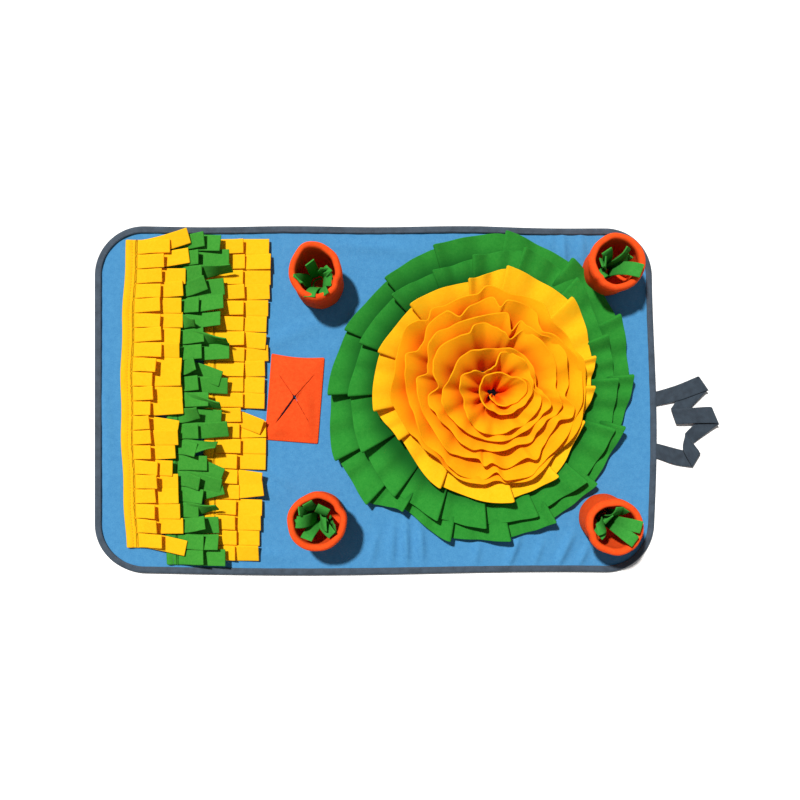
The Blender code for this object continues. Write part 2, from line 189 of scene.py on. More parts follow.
@dataclass(frozen=True)
class Fleece:
    """Brushed polyester fleece: a dull knit whose short pile scatters light and mottles softly.

    Some light passes through the cloth and comes out deeper in colour. Painted shade can turn the
    cloth to a seam shade colour near its seam, standing in for the shade where gathered cloth closes up.
    """
    name: str
    colour: str
    light: str
    through: str
    # Painted shade: an optional colour that the cloth turns to near its seam, and how far from the seam it
    # reaches.
    seam_shade: str = ""
    seam_shade_mm: float = 45.0
    pile_mm: float = 1.6
    mottle_mm: float = 5.0
    sheen: float = 0.12
    glow: float = 0.3
    roughness: float = 0.92
    bump: float = 0.4

    def build(self) -> bpy.types.Material:
        """Make the material, or find the one made before.

        Returns:
            The material.
        """
        found = bpy.data.materials.get(self.name)
        if found:
            return found
        material = bpy.data.materials.new(self.name)
        material.use_nodes = True
        tree = material.node_tree
        shader = tree.nodes["Principled BSDF"]
        place = add_node(tree, "TexCoord").outputs["Object"]
        # The pile is finer than the view can show, so its grain is drawn about twice as coarse.
        grain = add_node(tree, "TexNoise",
                         {"Scale": 1000 / self.pile_mm, "Detail": 3.0, "Roughness": 0.7},
                         links={"Vector": place})
        mottle = add_node(tree, "TexNoise", {"Scale": 1000 / self.mottle_mm, "Detail": 2.0},
                          links={"Vector": place})
        tone = add_node(tree, "Math", {1: 0.5}, {"operation": "MULTIPLY_ADD"},
                        {0: mottle.outputs["Fac"], 2: grain.outputs["Fac"]})
        spread = add_node(tree, "MapRange", {"From Min": 0.45, "From Max": 1.05},
                          links={"Value": tone.outputs[0]})
        base = add_node(tree, "Mix", {6: (*linear(self.colour), 1), 7: (*linear(self.light), 1)},
                        {"data_type": "RGBA"}, {0: spread.outputs[0]}).outputs[2]
        # Painted shade: the colour turns towards the seam shade colour near the seam.
        if self.seam_shade:
            base = self._paint_seam_shade(tree, base)
        bump = add_node(tree, "Bump", {"Strength": self.bump, "Distance": 0.8 * MM},
                        links={"Height": tone.outputs[0]})
        tree.links.new(base, shader.inputs["Base Color"])
        tree.links.new(bump.outputs[0], shader.inputs["Normal"])
        shader.inputs["Roughness"].default_value = self.roughness
        shader.inputs["Specular IOR Level"].default_value = 0.12
        shader.inputs["Sheen Weight"].default_value = self.sheen
        shader.inputs["Sheen Roughness"].default_value = 0.5
        shader.inputs["Sheen Tint"].default_value = (*linear(self.light), 1)
        # Light that crosses the loose knit: it lifts the shaded sides of standing cloth.
        passed = add_node(tree, "BsdfTranslucent", {"Color": (*linear(self.through), 1)},
                          links={"Normal": bump.outputs[0]})
        mix = add_node(tree, "MixShader", {0: self.glow},
                       links={1: shader.outputs[0], 2: passed.outputs[0]})
        tree.links.new(mix.outputs[0], tree.nodes["Material Output"].inputs["Surface"])
        return material

    def _paint_seam_shade(self, tree: bpy.types.NodeTree, base: bpy.types.NodeSocket) -> bpy.types.NodeSocket:
        """Paint shade towards the seam, standing in for the shade where the gathered cloth closes up.

        Args:
            tree: The material's node tree.
            base: The cloth's own colour.

        Returns:
            The colour with the painted seam shade mixed in.
        """
        cloth = add_node(tree, "TexCoord").outputs["UV"]
        reach = add_node(tree, "SeparateXYZ", links={0: cloth}).outputs["Y"]
        share = add_node(tree, "MapRange",
                         {"From Min": self.seam_shade_mm * 0.5 * MM, "From Max": self.seam_shade_mm * 1.5 * MM},
                         {"interpolation_type": "SMOOTHSTEP"}, {"Value": reach})
        return add_node(tree, "Mix", {6: (*linear(self.seam_shade), 1)}, {"data_type": "RGBA"},
                        {0: share.outputs[0], 7: base}).outputs[2]


@dataclass(frozen=True)
class Woven:
    """Woven polyester tape or webbing: fine raised ribs with a slight gloss on each yarn."""
    name: str
    colour: str
    dark: str
    weave: Weave
    rib_mm: float
    roughness: float = 0.7

    def build(self) -> bpy.types.Material:
        """Make the material, or find the one made before.

        Returns:
            The material.
        """
        found = bpy.data.materials.get(self.name)
        if found:
            return found
        material = bpy.data.materials.new(self.name)
        material.use_nodes = True
        tree = material.node_tree
        shader = tree.nodes["Principled BSDF"]
        place = add_node(tree, "TexCoord").outputs["UV"]
        # Real yarns are about 0.4 mm, so the ribs are drawn coarser in order to show. A wave node's
        # bands are counted by WAVE_BANDS.
        ribs = {"Scale": 1 / (self.rib_mm * MM * WAVE_BANDS), "Distortion": 0.6}
        across = add_node(tree, "TexWave", ribs, {"bands_direction": "X"}, {"Vector": place})
        slant = "DIAGONAL" if self.weave is Weave.RIBBED else "Y"
        down = add_node(tree, "TexWave", ribs, {"bands_direction": slant}, {"Vector": place})
        wear = add_node(tree, "TexNoise", {"Scale": 90.0, "Detail": 4.0}, links={"Vector": place})
        yarn = add_node(tree, "Math", settings={"operation": "MULTIPLY"},
                        links={0: across.outputs["Fac"], 1: down.outputs["Fac"]})
        tone = add_node(tree, "Math", {1: 0.5}, {"operation": "MULTIPLY_ADD"},
                        {0: yarn.outputs[0], 2: wear.outputs["Fac"]})
        spread = add_node(tree, "MapRange", {"From Min": 0.3, "From Max": 1.0},
                          links={"Value": tone.outputs[0]})
        mix = add_node(tree, "Mix", {6: (*linear(self.dark), 1), 7: (*linear(self.colour), 1)},
                       {"data_type": "RGBA"}, {0: spread.outputs[0]})
        tree.links.new(mix.outputs[2], shader.inputs["Base Color"])
        bump = add_node(tree, "Bump", {"Strength": 0.5, "Distance": 0.3 * MM},
                        links={"Height": yarn.outputs[0]})
        tree.links.new(bump.outputs[0], shader.inputs["Normal"])
        shader.inputs["Roughness"].default_value = self.roughness
        shader.inputs["Specular IOR Level"].default_value = 0.3
        shader.inputs["Sheen Weight"].default_value = 0.1
        return material


# The mat: an even, dull sky blue whose fine pile softens every wrinkle.
BLUE_FLEECE = Fleece("brushed_fleece_blue", "3B7CB0", "5194C3", "3878B0", mottle_mm=6.0, glow=0.05)
# The fringe and the outermost yellow ruffle: a flat warm yellow, orange where light comes through.
FRINGE_YELLOW = Fleece("brushed_fleece_yellow", "FFBA0A", "FFCB1E", "FF8400", glow=0.2)
# The standing yellow ruffles: the same cloth, with painted shade that turns it orange down between the
# rings, towards the seam.
ROSETTE_YELLOW = Fleece("brushed_fleece_yellow_painted_seam_shade", "FCB006", "FFBF12", "FFA000", seam_shade="FF8008",
                        glow=0.3)
# The rolled heart: its painted seam shade is a redder orange that reaches higher, standing in for the
# shade where the cloth is closest.
HEART_YELLOW = Fleece("brushed_fleece_yellow_rolled_painted_seam_shade", "FFAE06", "FFBC10", "FF9000", seam_shade="FF6404",
                      seam_shade_mm=36, glow=0.3)
# The green ruffles: a leaf green with painted shade that turns it dark green towards the seam, under the
# yellow ones.
GREEN_FLEECE = Fleece("brushed_fleece_green", "1F7C27", "348F33", "2A8A26", seam_shade="10561B", seam_shade_mm=40,
                      glow=0.1)
# The green fringe: a slightly yellower green, even from root to tip.
FRINGE_GREEN = Fleece("brushed_fleece_green_fringe", "31892B", "499E39", "348A20", glow=0.15)
# The cups: a deep orange whose rolled cuff catches a soft light along its top.
CUP_FLEECE = Fleece("brushed_fleece_orange", "EA4410", "F65C22", "D03A08", glow=0.1)
# The patch: a slightly redder orange than the cups, dull and even.
PATCH_FLEECE = Fleece("brushed_fleece_orange_red", "E44416", "F05A24", "E03A08", glow=0.1)
# The leaves: a mid green, a little lighter where the strips stand up to the light.
LEAF_FLEECE = Fleece("brushed_fleece_green_leaf", "2B882F", "45A240", "2A8A26", glow=0.15)
# The binding: a slate tape with a close, barely raised weave.
BINDING_TAPE = Woven("woven_tape_slate", "465565", "2A3541", Weave.PLAIN, 1.2)
# The strap: a darker slate webbing with slanting ribs.
STRAP_WEBBING = Woven("woven_webbing_slate", "384653", "1C2530", Weave.RIBBED, 1.1)
# The threads: spun polyester, a shade off the cloth they lie on, so each stitch just shows.
SLATE_THREAD = Woven("spun_thread_slate", "576678", "3B495A", Weave.PLAIN, 0.8)
YELLOW_THREAD = Woven("spun_thread_yellow", "E08C00", "B86A00", Weave.PLAIN, 0.8)
ORANGE_THREAD = Woven("spun_thread_orange", "D84410", "A83006", Weave.PLAIN, 0.8)


# ------------------------------------------------------------------ mesh making

@dataclass
class MeshBuilder:
    """Gathers points and faces, then turns them into one object."""
    points: list = field(default_factory=list)
    faces: list = field(default_factory=list)
    marks: list = field(default_factory=list)

    def put(self, point: Vector, mark: tuple[float, float] = (0.0, 0.0)) -> int:
        """Add a point.

        Args:
            point: Where it is.
            mark: Its place on the flat cloth in metres.

        Returns:
            Its index.
        """
        self.points.append(tuple(point))
        self.marks.append(mark)
        return len(self.points) - 1

    def grid(self, rows: list[list[Vector]], closed: bool = False, ring: bool = False) -> None:
        """Add a grid of points.

        Args:
            rows: Equal rows of points.
            closed: Whether the last row joins the first.
            ring: Whether each row is itself a closed loop.
        """
        base = len(self.points)
        wide = len(rows[0])
        run = 0.0
        for index, row in enumerate(rows):
            if index:
                run += (Vector(row[wide // 2]) - Vector(rows[index - 1][wide // 2])).length
            reach = 0.0
            for at, point in enumerate(row):
                if at:
                    reach += (Vector(point) - Vector(row[at - 1])).length
                self.put(point, (run, reach))
        for index in range(len(rows) if closed else len(rows) - 1):
            near = base + index * wide
            far = base + (index + 1) % len(rows) * wide
            for at in range(wide if ring else wide - 1):
                after = (at + 1) % wide
                self.faces.append((near + at, near + after, far + after, far + at))

    def cap(self, loop: list[int]) -> None:
        """Add one flat face over a loop of points."""
        self.faces.append(tuple(loop))

    def build(self, name: str, material: bpy.types.Material) -> bpy.types.Object:
        """Make the object, smooth shaded, with the flat cloth's places as its UV map.

        Args:
            name: The piece's name.
            material: Its finish.

        Returns:
            The object.
        """
        mesh = bpy.data.meshes.new(name)
        mesh.from_pydata(self.points, [], self.faces)
        layer = mesh.uv_layers.new(name="cloth_metres")
        corners = np.empty(len(mesh.loops), dtype=np.int32)
        mesh.loops.foreach_get("vertex_index", corners)
        layer.data.foreach_set("uv", np.array(self.marks, dtype=np.float32)[corners].ravel())
        mesh.shade_smooth()
        mesh.materials.append(material)
        item = bpy.data.objects.new(name, mesh)
        bpy.context.collection.objects.link(item)
        return item


def thicken(item: bpy.types.Object, thickness: float) -> bpy.types.Object:
    """Give a thin sheet its thickness and round its edges.

    Args:
        item: The sheet.
        thickness: Cloth thickness in metres.

    Returns:
        The same object.
    """
    solid = item.modifiers.new("cloth_thickness", "SOLIDIFY")
    solid.thickness = thickness
    solid.offset = 0.0
    solid.use_quality_normals = True
    return soften(item)


def soften(item: bpy.types.Object) -> bpy.types.Object:
    """Subdivide a piece once, which rounds it.

    Args:
        item: The piece.

    Returns:
        The same object.
    """
    smooth = item.modifiers.new("soft_edges", "SUBSURF")
    smooth.levels = 1
    smooth.render_levels = 1
    return item


def install(item: bpy.types.Object, slot: str, *nodes: str) -> bpy.types.Object:
    """Let a piece ride on the mat and stand for its CAD nodes.

    Args:
        item: The piece.
        slot: Its material slot; not used.
        *nodes: The CAD nodes that it replaces.

    Returns:
        The same object.
    """
    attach(item, BODY)
    if nodes:
        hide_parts(*nodes)
    LOG.info("%s: %d points", item.name, len(item.data.vertices))
    return item


@dataclass
class StitchRow:
    """A row of short raised stitches laid along a path."""
    length: float = 3.0 * MM
    gap: float = 1.2 * MM
    radius: float = 0.35 * MM

    def sew(self, builder: MeshBuilder, path: list[Vector]) -> None:
        """Add the stitches that fit along a path of points.

        Args:
            builder: The mesh that the stitches are added to.
            path: Points on the cloth's surface.
        """
        steps = [0.0]
        for first, second in zip(path[:-1], path[1:]):
            steps.append(steps[-1] + (second - first).length)
        pitch = self.length + self.gap
        count = int(steps[-1] / pitch)
        for index in range(count):
            start = self._at(path, steps, index * pitch)
            end = self._at(path, steps, index * pitch + self.length)
            self._stitch(builder, start, end)

    @staticmethod
    def _at(path: list[Vector], steps: list[float], run: float) -> Vector:
        """The point a run along the path.

        Args:
            path: Points on the cloth's surface.
            steps: The run at each point.
            run: The run asked for.

        Returns:
            The point.
        """
        at = int(np.searchsorted(steps, run)) - 1
        at = min(max(at, 0), len(path) - 2)
        span = steps[at + 1] - steps[at] or 1.0
        return path[at].lerp(path[at + 1], (run - steps[at]) / span)

    def _stitch(self, builder: MeshBuilder, start: Vector, end: Vector) -> None:
        """One stitch: a slim lens that dips into the cloth at both ends.

        Args:
            builder: The mesh that the stitch is added to.
            start: Where the thread comes up.
            end: Where it goes down.
        """
        run = (end - start).normalized()
        side = run.cross(Vector((0, 0, 1))).normalized()
        up = side.cross(run)
        rows = []
        for share in (0.0, 0.25, 0.75, 1.0):
            swell = 1.0 if 0 < share < 1 else 0.35
            middle = start.lerp(end, share) + up * (0.0 if 0 < share < 1 else -self.radius)
            rows.append([middle + (side * math.cos(turn) + up * math.sin(turn)) * self.radius * swell
                         for turn in (math.pi * corner / 3 for corner in range(6))])
        base = len(builder.points)
        builder.grid(rows, ring=True)
        builder.cap(list(range(base, base + 6)))
        last = len(builder.points)
        builder.cap(list(reversed(range(last - 6, last))))


# ------------------------------------------------------------------ mat, binding

@dataclass
class MatBase:
    """The blue fleece mat, its slate binding and the binding's stitches."""
    corner: float = 70 * MM
    rim_in: float = 1.6 * MM
    tape_width: float = 9.5 * MM
    tape_high: float = 5.8 * MM
    highest: float = 9 * MM
    columns: int = 230
    rim_points: int = 620
    wrinkles: tuple = (
        # start, end (mm from the mat's middle), width mm, height mm
        ((24, -176), (22, -236), 12, 4.2), ((42, -172), (44, -238), 11, 6.0),
        ((62, -176), (67, -234), 13, 5.2), ((2, -186), (-8, -236), 12, 3.0),
        ((146, -200), (142, -238), 13, 3.0), ((206, -190), (188, -240), 12, 5.0),
        ((282, -188), (258, -240), 13, 5.0), ((304, -206), (288, -240), 12, 3.4),
        ((238, -200), (226, -238), 11, 2.6),
        ((266, 238), (270, 184), 12, 5.0), ((292, 238), (296, 196), 12, 4.2),
        ((248, 238), (254, 214), 10, 2.2), ((-196, 60), (-60, 120), 26, 1.8),
        ((-150, -96), (-120, -128), 16, 2.4), ((-170, -110), (-130, -150), 18, 2.0),
        ((-60, 222), (60, 214), 20, 2.0), ((-214, -214), (-120, -226), 20, 2.0),
        ((356, 120), (366, -60), 24, 1.8), ((-392, 60), (-380, -120), 18, 1.8),
    )

    def __post_init__(self) -> None:
        """Read the mat's half sizes from the frame."""
        low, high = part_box("edge_binding")
        self.half_x = (high[0] - low[0]) / 2 - 1.7 * MM
        self.half_y = (high[1] - low[1]) / 2 - 1.2 * MM

    def swell(self, x: float, y: float) -> tuple[float, float]:
        """How far the hand-sewn rim strays from a plain rectangle.

        Args:
            x: The point's place along the mat.
            y: Its place across the mat.

        Returns:
            The shifts along and across.
        """
        pull_x = (abs(x) / self.half_x) ** 4
        pull_y = (abs(y) / self.half_y) ** 4
        if x > 0:
            shift_x = pull_x * (3.5 * MM * math.cos(math.pi * (y + 0.05) / 0.25) - 2 * MM)
        else:
            shift_x = -pull_x * 2 * MM
        if y > 0:
            shift_y = -pull_y * 2.5 * MM * max(0.0, x - 0.15) / 0.15
            shift_y -= pull_y * 0.8 * MM * math.cos(x * 26)
        else:
            shift_y = -pull_y * 2.5 * MM * math.cos(math.pi * (x + 0.11) / 0.37)
        return shift_x, shift_y

    def rim(self, inset: float, count: int) -> list[Vector]:
        """Points of the rim, drawn in by inset, evenly spread round the mat.

        Args:
            inset: Distance inward from the binding's outer edge.
            count: How many points.

        Returns:
            The loop, anticlockwise, at height 0.
        """
        radius = self.corner
        flat_x, flat_y = self.half_x - radius, self.half_y - radius
        arc = math.pi / 2 * radius
        sides = (2 * flat_y, arc, 2 * flat_x, arc) * 2
        total = sum(sides)
        loop = []
        for index in range(count):
            run = index / count * total
            side = 0
            while run > sides[side]:
                run -= sides[side]
                side += 1
            loop.append(self._rim_point(side, run, flat_x, flat_y, radius, inset))
        return loop

    def _rim_point(self, side: int, run: float, flat_x: float, flat_y: float, radius: float,
                   inset: float) -> Vector:
        """The rim point a run along one of the eight stretches.

        Args:
            side: The stretch, even ones straight and odd ones round a corner.
            run: How far along it.
            flat_x: Half the length between the corners' middles.
            flat_y: Half the width between them.
            radius: The corners' radius.
            inset: Distance inward from the binding's outer edge.

        Returns:
            The point at height 0.
        """
        quarter = side // 2
        sign_x, sign_y = ((1, 1), (-1, 1), (-1, -1), (1, -1))[quarter]
        corner = Vector((sign_x * flat_x, sign_y * flat_y, 0))
        turn = quarter * math.pi / 2
        outward = Vector((math.cos(turn), math.sin(turn), 0))
        onward = Vector((-math.sin(turn), math.cos(turn), 0))
        if side % 2 == 0:
            length = 2 * (flat_y if quarter % 2 == 0 else flat_x)
            point = corner + outward * (radius - inset) - onward * (length - run)
        else:
            bend = turn + run / radius
            point = corner + Vector((math.cos(bend), math.sin(bend), 0)) * (radius - inset)
        shift_x, shift_y = self.swell(point.x, point.y)
        return point + Vector((shift_x, shift_y, 0))

    def top(self, x: float, y: float) -> float:
        """Height of the mat's top: 3 mm of cloth, its wrinkles and a slow unevenness.

        Args:
            x: The point's place along the mat.
            y: Its place across the mat.

        Returns:
            The height in metres.
        """
        height = MAT_TOP + 0.25 * MM * math.sin(x * 31 + 2 * math.sin(y * 23)) * math.cos(y * 37 + x * 11)
        spot = Vector((x, y))
        for start, end, width, rise in self.wrinkles:
            first, second = Vector(start) * MM, Vector(end) * MM
            run = second - first
            share = (spot - first).dot(run) / run.length_squared
            if -0.25 < share < 1.25:
                off = (spot - first - run * share).length / (width * MM / 2)
                taper = math.cos(math.pi * min(0.5, abs(share - 0.5) / 1.5)) ** 2
                height += rise * MM * taper * math.exp(-off * off * 1.4)
        return height

    def _rows(self) -> list[float]:
        """Row places from the bottom rim to the top one, finer where the corners turn.

        Returns:
            Places across the mat, in order.
        """
        inner = self.half_y - self.corner
        plain = [inner * (2 * step / 88 - 1) for step in range(89)]
        bend = [inner + (self.corner - self.rim_in) * math.sin(math.pi / 2 * step / 22)
                for step in range(1, 23)]
        return [-y for y in reversed(bend)] + plain + bend

    def build_mat(self) -> None:
        """The mat's cloth: a wrinkled top and a flat underside."""
        tops, bottoms = [], []
        for y in self._rows():
            over = max(0.0, abs(y) - (self.half_y - self.corner))
            reach_y = self.corner - self.rim_in
            half = self.half_x - self.corner + math.sqrt(max(0.0, reach_y ** 2 - over ** 2))
            top_row, bottom_row = [], []
            for step in range(self.columns + 1):
                x = half * (2 * step / self.columns - 1)
                shift_x, shift_y = self.swell(x, y)
                inset = min(half - abs(x), reach_y - over if over else self.half_y - self.rim_in - abs(y))
                lift = 1.4 * MM * (1 - ease(inset / (9 * MM)))
                place = (x + shift_x, y + shift_y)
                top_row.append(Vector((*place, min(self.top(*place), self.highest) + lift * 0.6)))
                bottom_row.append(Vector((*place, lift)))
            tops.append(top_row)
            bottoms.append(bottom_row)
        builder = MeshBuilder()
        builder.grid([list(reversed(row)) for row in tops])
        wide, high = self.columns + 1, len(tops)
        base = len(builder.points)
        builder.grid(bottoms)
        top_rim = [row * wide + (wide - 1 - column) for row, column in self._border(wide, high)]
        low_rim = [base + row * wide + column for row, column in self._border(wide, high)]
        for at in range(len(top_rim)):
            after = (at + 1) % len(top_rim)
            builder.faces.append((low_rim[at], low_rim[after], top_rim[after], top_rim[at]))
        item = builder.build("mat_fleece_cloth", BLUE_FLEECE.build())
        install(item, "mat_fleece", "mat_cloth")

    @staticmethod
    def _border(wide: int, high: int) -> list[tuple[int, int]]:
        """Row and column of each border point of a grid, anticlockwise.

        Args:
            wide: Points in a row.
            high: Rows.

        Returns:
            Pairs of row and column.
        """
        border = [(0, column) for column in range(wide - 1)]
        border += [(row, wide - 1) for row in range(high - 1)]
        border += [(high - 1, column) for column in range(wide - 1, 0, -1)]
        border += [(row, 0) for row in range(high - 1, 0, -1)]
        return border

    def build_binding(self) -> None:
        """The tape folded round the rim, slightly puckered by its stitches."""
        tape, wide, high = 1.1 * MM, self.tape_width, self.tape_high
        section = [(wide, 0.15 * MM), (wide * 0.5, 0.0), (2.2 * MM, 0.0), (0.6 * MM, 0.5 * MM),
                   (0.0, high * 0.35), (0.0, high * 0.65), (0.6 * MM, high - 0.5 * MM), (2.2 * MM, high),
                   (wide * 0.5, high), (wide * 0.78, high - 0.35 * MM), (wide, high - 0.1 * MM),
                   (wide + 0.1 * MM, high - 0.7 * MM), (wide, high - tape), (wide * 0.5, high - tape),
                   (tape + 0.2 * MM, high - tape * 1.2), (tape + 0.1 * MM, tape * 1.2),
                   (wide * 0.5, tape), (wide, tape)]
        loops = [self.rim(inset, self.rim_points) for inset, _ in section]
        rows = []
        for index in range(self.rim_points):
            pucker = 0.35 * MM * math.sin(index * 0.83) + 0.25 * MM * math.sin(index * 0.31 + 1)
            row = []
            for (inset, height), loop in zip(section, loops):
                lift = pucker * (inset / wide) if height > high / 2 else 0.0
                row.append(loop[index] + Vector((0, 0, height + lift)))
            rows.append(row)
        builder = MeshBuilder()
        builder.grid(rows, closed=True, ring=True)
        item = builder.build("binding_tape_folded", BINDING_TAPE.build())
        install(item, "binding_tape", "edge_binding")

    def build_stitches(self) -> None:
        """The row of stitches that holds the binding."""
        builder = MeshBuilder()
        loop = self.rim(self.tape_width * 0.78, self.rim_points)
        path = [point + Vector((0, 0, self.tape_high - 0.25 * MM)) for point in loop + loop[:1]]
        StitchRow().sew(builder, path)
        install(builder.build("binding_stitches", SLATE_THREAD.build()), "binding_tape")

    def build(self) -> None:
        """Make the mat, its binding and the stitches."""
        self.build_mat()
        self.build_binding()
        self.build_stitches()


# ------------------------------------------------------------------ fringe

@dataclass
class FringeRow:
    """One strip folded lengthwise and cut into tabs through both layers."""
    number: int
    node: str
    slot: str
    cloth: Fleece
    upper_reach: tuple[float, ...]
    lower_reach: tuple[float, ...]
    climb: float
    bow: float
    yaw: float
    twist: float
    lift: float
    seed: int
    odd: tuple = ()
    ragged: float = 2.5
    tabs: int = 21
    root: float = 16 * MM

    def __post_init__(self) -> None:
        """Read the row's place from its CAD node."""
        low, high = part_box(self.node)
        self.fold_x = low[0] + self.bow + 1.0 * MM
        self.low_y, self.high_y = low[1] + 1.5 * MM, high[1] - 1.5 * MM
        self.lower_z = MAT_TOP + 1.3 * MM
        self.chance = random.Random(self.seed)

    def fold_line(self, share: float) -> Vector:
        """The fold's place at a share from the row's lower end to its upper end."""
        sway = -self.bow * math.sin(math.pi * share) + 0.8 * MM * math.sin(share * 29 + self.number)
        return Vector((self.fold_x + sway, blend(self.low_y, self.high_y, share), self.lower_z))

    def band_profile(self) -> list[tuple[float, float]]:
        """The uncut band's section, from the upper layer's cuts, round the fold, to the lower's.

        Returns:
            Pairs of reach and height.
        """
        top = LAYER_PITCH
        upper = [(self.root, top), (12.5 * MM, top - 0.2 * MM), (10 * MM, top - 0.8 * MM),
                 (8 * MM, top + 0.2 * MM), (4.5 * MM, top + 0.9 * MM), (1.5 * MM, top + 0.5 * MM)]
        fold = [(0.0, top * 0.5)]
        lower = [(1.5 * MM, 0.0), (10 * MM, 0.0), (self.root, 0.0)]
        return upper + fold + lower

    def _tab(self, builder: MeshBuilder, edge: list[int], share: float, width: float, reach: float,
             rise: float, crest: float, turns: tuple[float, float, float]) -> None:
        """Grow one tab from the band's edge points.

        Args:
            builder: The row's mesh.
            edge: Indices of the band's points at the tab's root.
            share: The tab's middle along the row.
            width: The tab's width.
            reach: How far its tip lies from the fold.
            rise: Height of the tab's root.
            crest: How much it climbs over what lies beside it.
            turns: Turn in plan, twist about its length, and lift of its tip.
        """
        yaw, twist, lift = turns
        across = (-0.5, -0.44, 0.0, 0.44, 0.5)
        shares = (0.06, 0.2, 0.36, 0.52, 0.68, 0.82, 0.93, 0.985, 1.0)
        length = reach - self.root
        start = self.fold_line(share) + Vector((self.root, 0, rise))
        place = start.copy()
        before = edge
        last = 0.0
        for step in shares:
            turn = yaw * ease(step * 1.3)
            run = Vector((math.cos(turn), math.sin(turn), 0))
            place += run * length * (step - last)
            last = step
            climb = crest * ease((step * length + self.root - 18 * MM) / (32 * MM)) + lift * step ** 2.2
            middle = Vector((place.x, place.y, start.z + climb))
            roll = twist * ease(step * 1.1)
            side = Vector((-math.sin(turn) * math.cos(roll), math.cos(turn) * math.cos(roll),
                           math.sin(roll)))
            wide = width - 1.3 * MM * ease(step * 3)
            middle.z += abs(math.sin(roll) * wide) * 0.5
            row = [builder.put(middle + side * wide * at, (step * length, wide * at)) for at in across]
            for at in range(4):
                builder.faces.append((before[at], before[at + 1], row[at + 1], row[at]))
            before = row

    def build(self) -> None:
        """Make the row as one comb with both layers, and its seam stitches."""
        builder = MeshBuilder()
        profile = self.band_profile()
        across = (-0.5, -0.44, 0.0, 0.44)
        lines = []
        for tab in range(self.tabs + 1):
            for at in across if tab < self.tabs else across[:1]:
                share = (tab + 0.5 + at) / self.tabs
                spot = self.fold_line(share)
                puff = 0.35 * MM * math.sin(share * 57 + self.number)
                lines.append([builder.put(spot + Vector((reach, 0, rise + puff * (rise > LAYER_PITCH))),
                                          (reach, spot.y)) for reach, rise in profile])
        for first, second in zip(lines[:-1], lines[1:]):
            for at in range(len(profile) - 1):
                builder.faces.append((first[at], second[at], second[at + 1], first[at + 1]))
        width = (self.high_y - self.low_y) / self.tabs
        for tab in range(self.tabs):
            share = (tab + 0.5) / self.tabs
            down = 1 - share
            roots = lines[tab * 4:tab * 4 + 5]
            ragged = self.ragged * MM
            reach = along(self.upper_reach, down) * MM + self.chance.uniform(-ragged, ragged)
            self._tab(builder, [line[0] for line in roots], share, width, reach, LAYER_PITCH,
                      self.climb * 1.2, self._turns(tab, True))
            reach = along(self.lower_reach, down) * MM + self.chance.uniform(-ragged, ragged)
            self._tab(builder, [line[-1] for line in reversed(roots)], share, -width, reach, 0.0,
                      self.climb, self._turns(tab, False))
        item = thicken(builder.build(f"fringe_strip_{self.number}", self.cloth.build()), FLEECE_THICK)
        install(item, self.slot, self.node)
        self._seam()

    def _turns(self, tab: int, upper: bool) -> tuple[float, float, float]:
        """A tab's own turn, twist and lift, or those of one that was left lying askew.

        Args:
            tab: The tab's number from the row's lower end.
            upper: Whether it is in the upper layer.

        Returns:
            Turn in plan and twist in radians, and lift in metres.
        """
        chance = self.chance
        yaw = chance.gauss(0, self.yaw)
        if min(tab, self.tabs - 1 - tab) < 3:
            yaw = math.copysign(0.3 * yaw, self.tabs / 2 - tab)
        usual = (yaw, chance.gauss(0, self.twist), chance.uniform(0.45, 1.0) * self.lift)
        for number, layer_upper, yaw, twist, lift in self.odd:
            if number == tab and layer_upper == upper:
                return math.radians(yaw), math.radians(twist), lift * MM
        return usual

    def _seam(self) -> None:
        """The stitches along the fold that hold the row down."""
        builder = MeshBuilder()
        path = [self.fold_line(step / 80) + Vector((10 * MM, 0, LAYER_PITCH + 0.45 * MM))
                for step in range(81)]
        StitchRow().sew(builder, path)
        thread = YELLOW_THREAD if self.cloth is FRINGE_YELLOW else SLATE_THREAD
        install(builder.build(f"fringe_seam_{self.number}", thread.build()), self.slot)


# ------------------------------------------------------------------ rosette

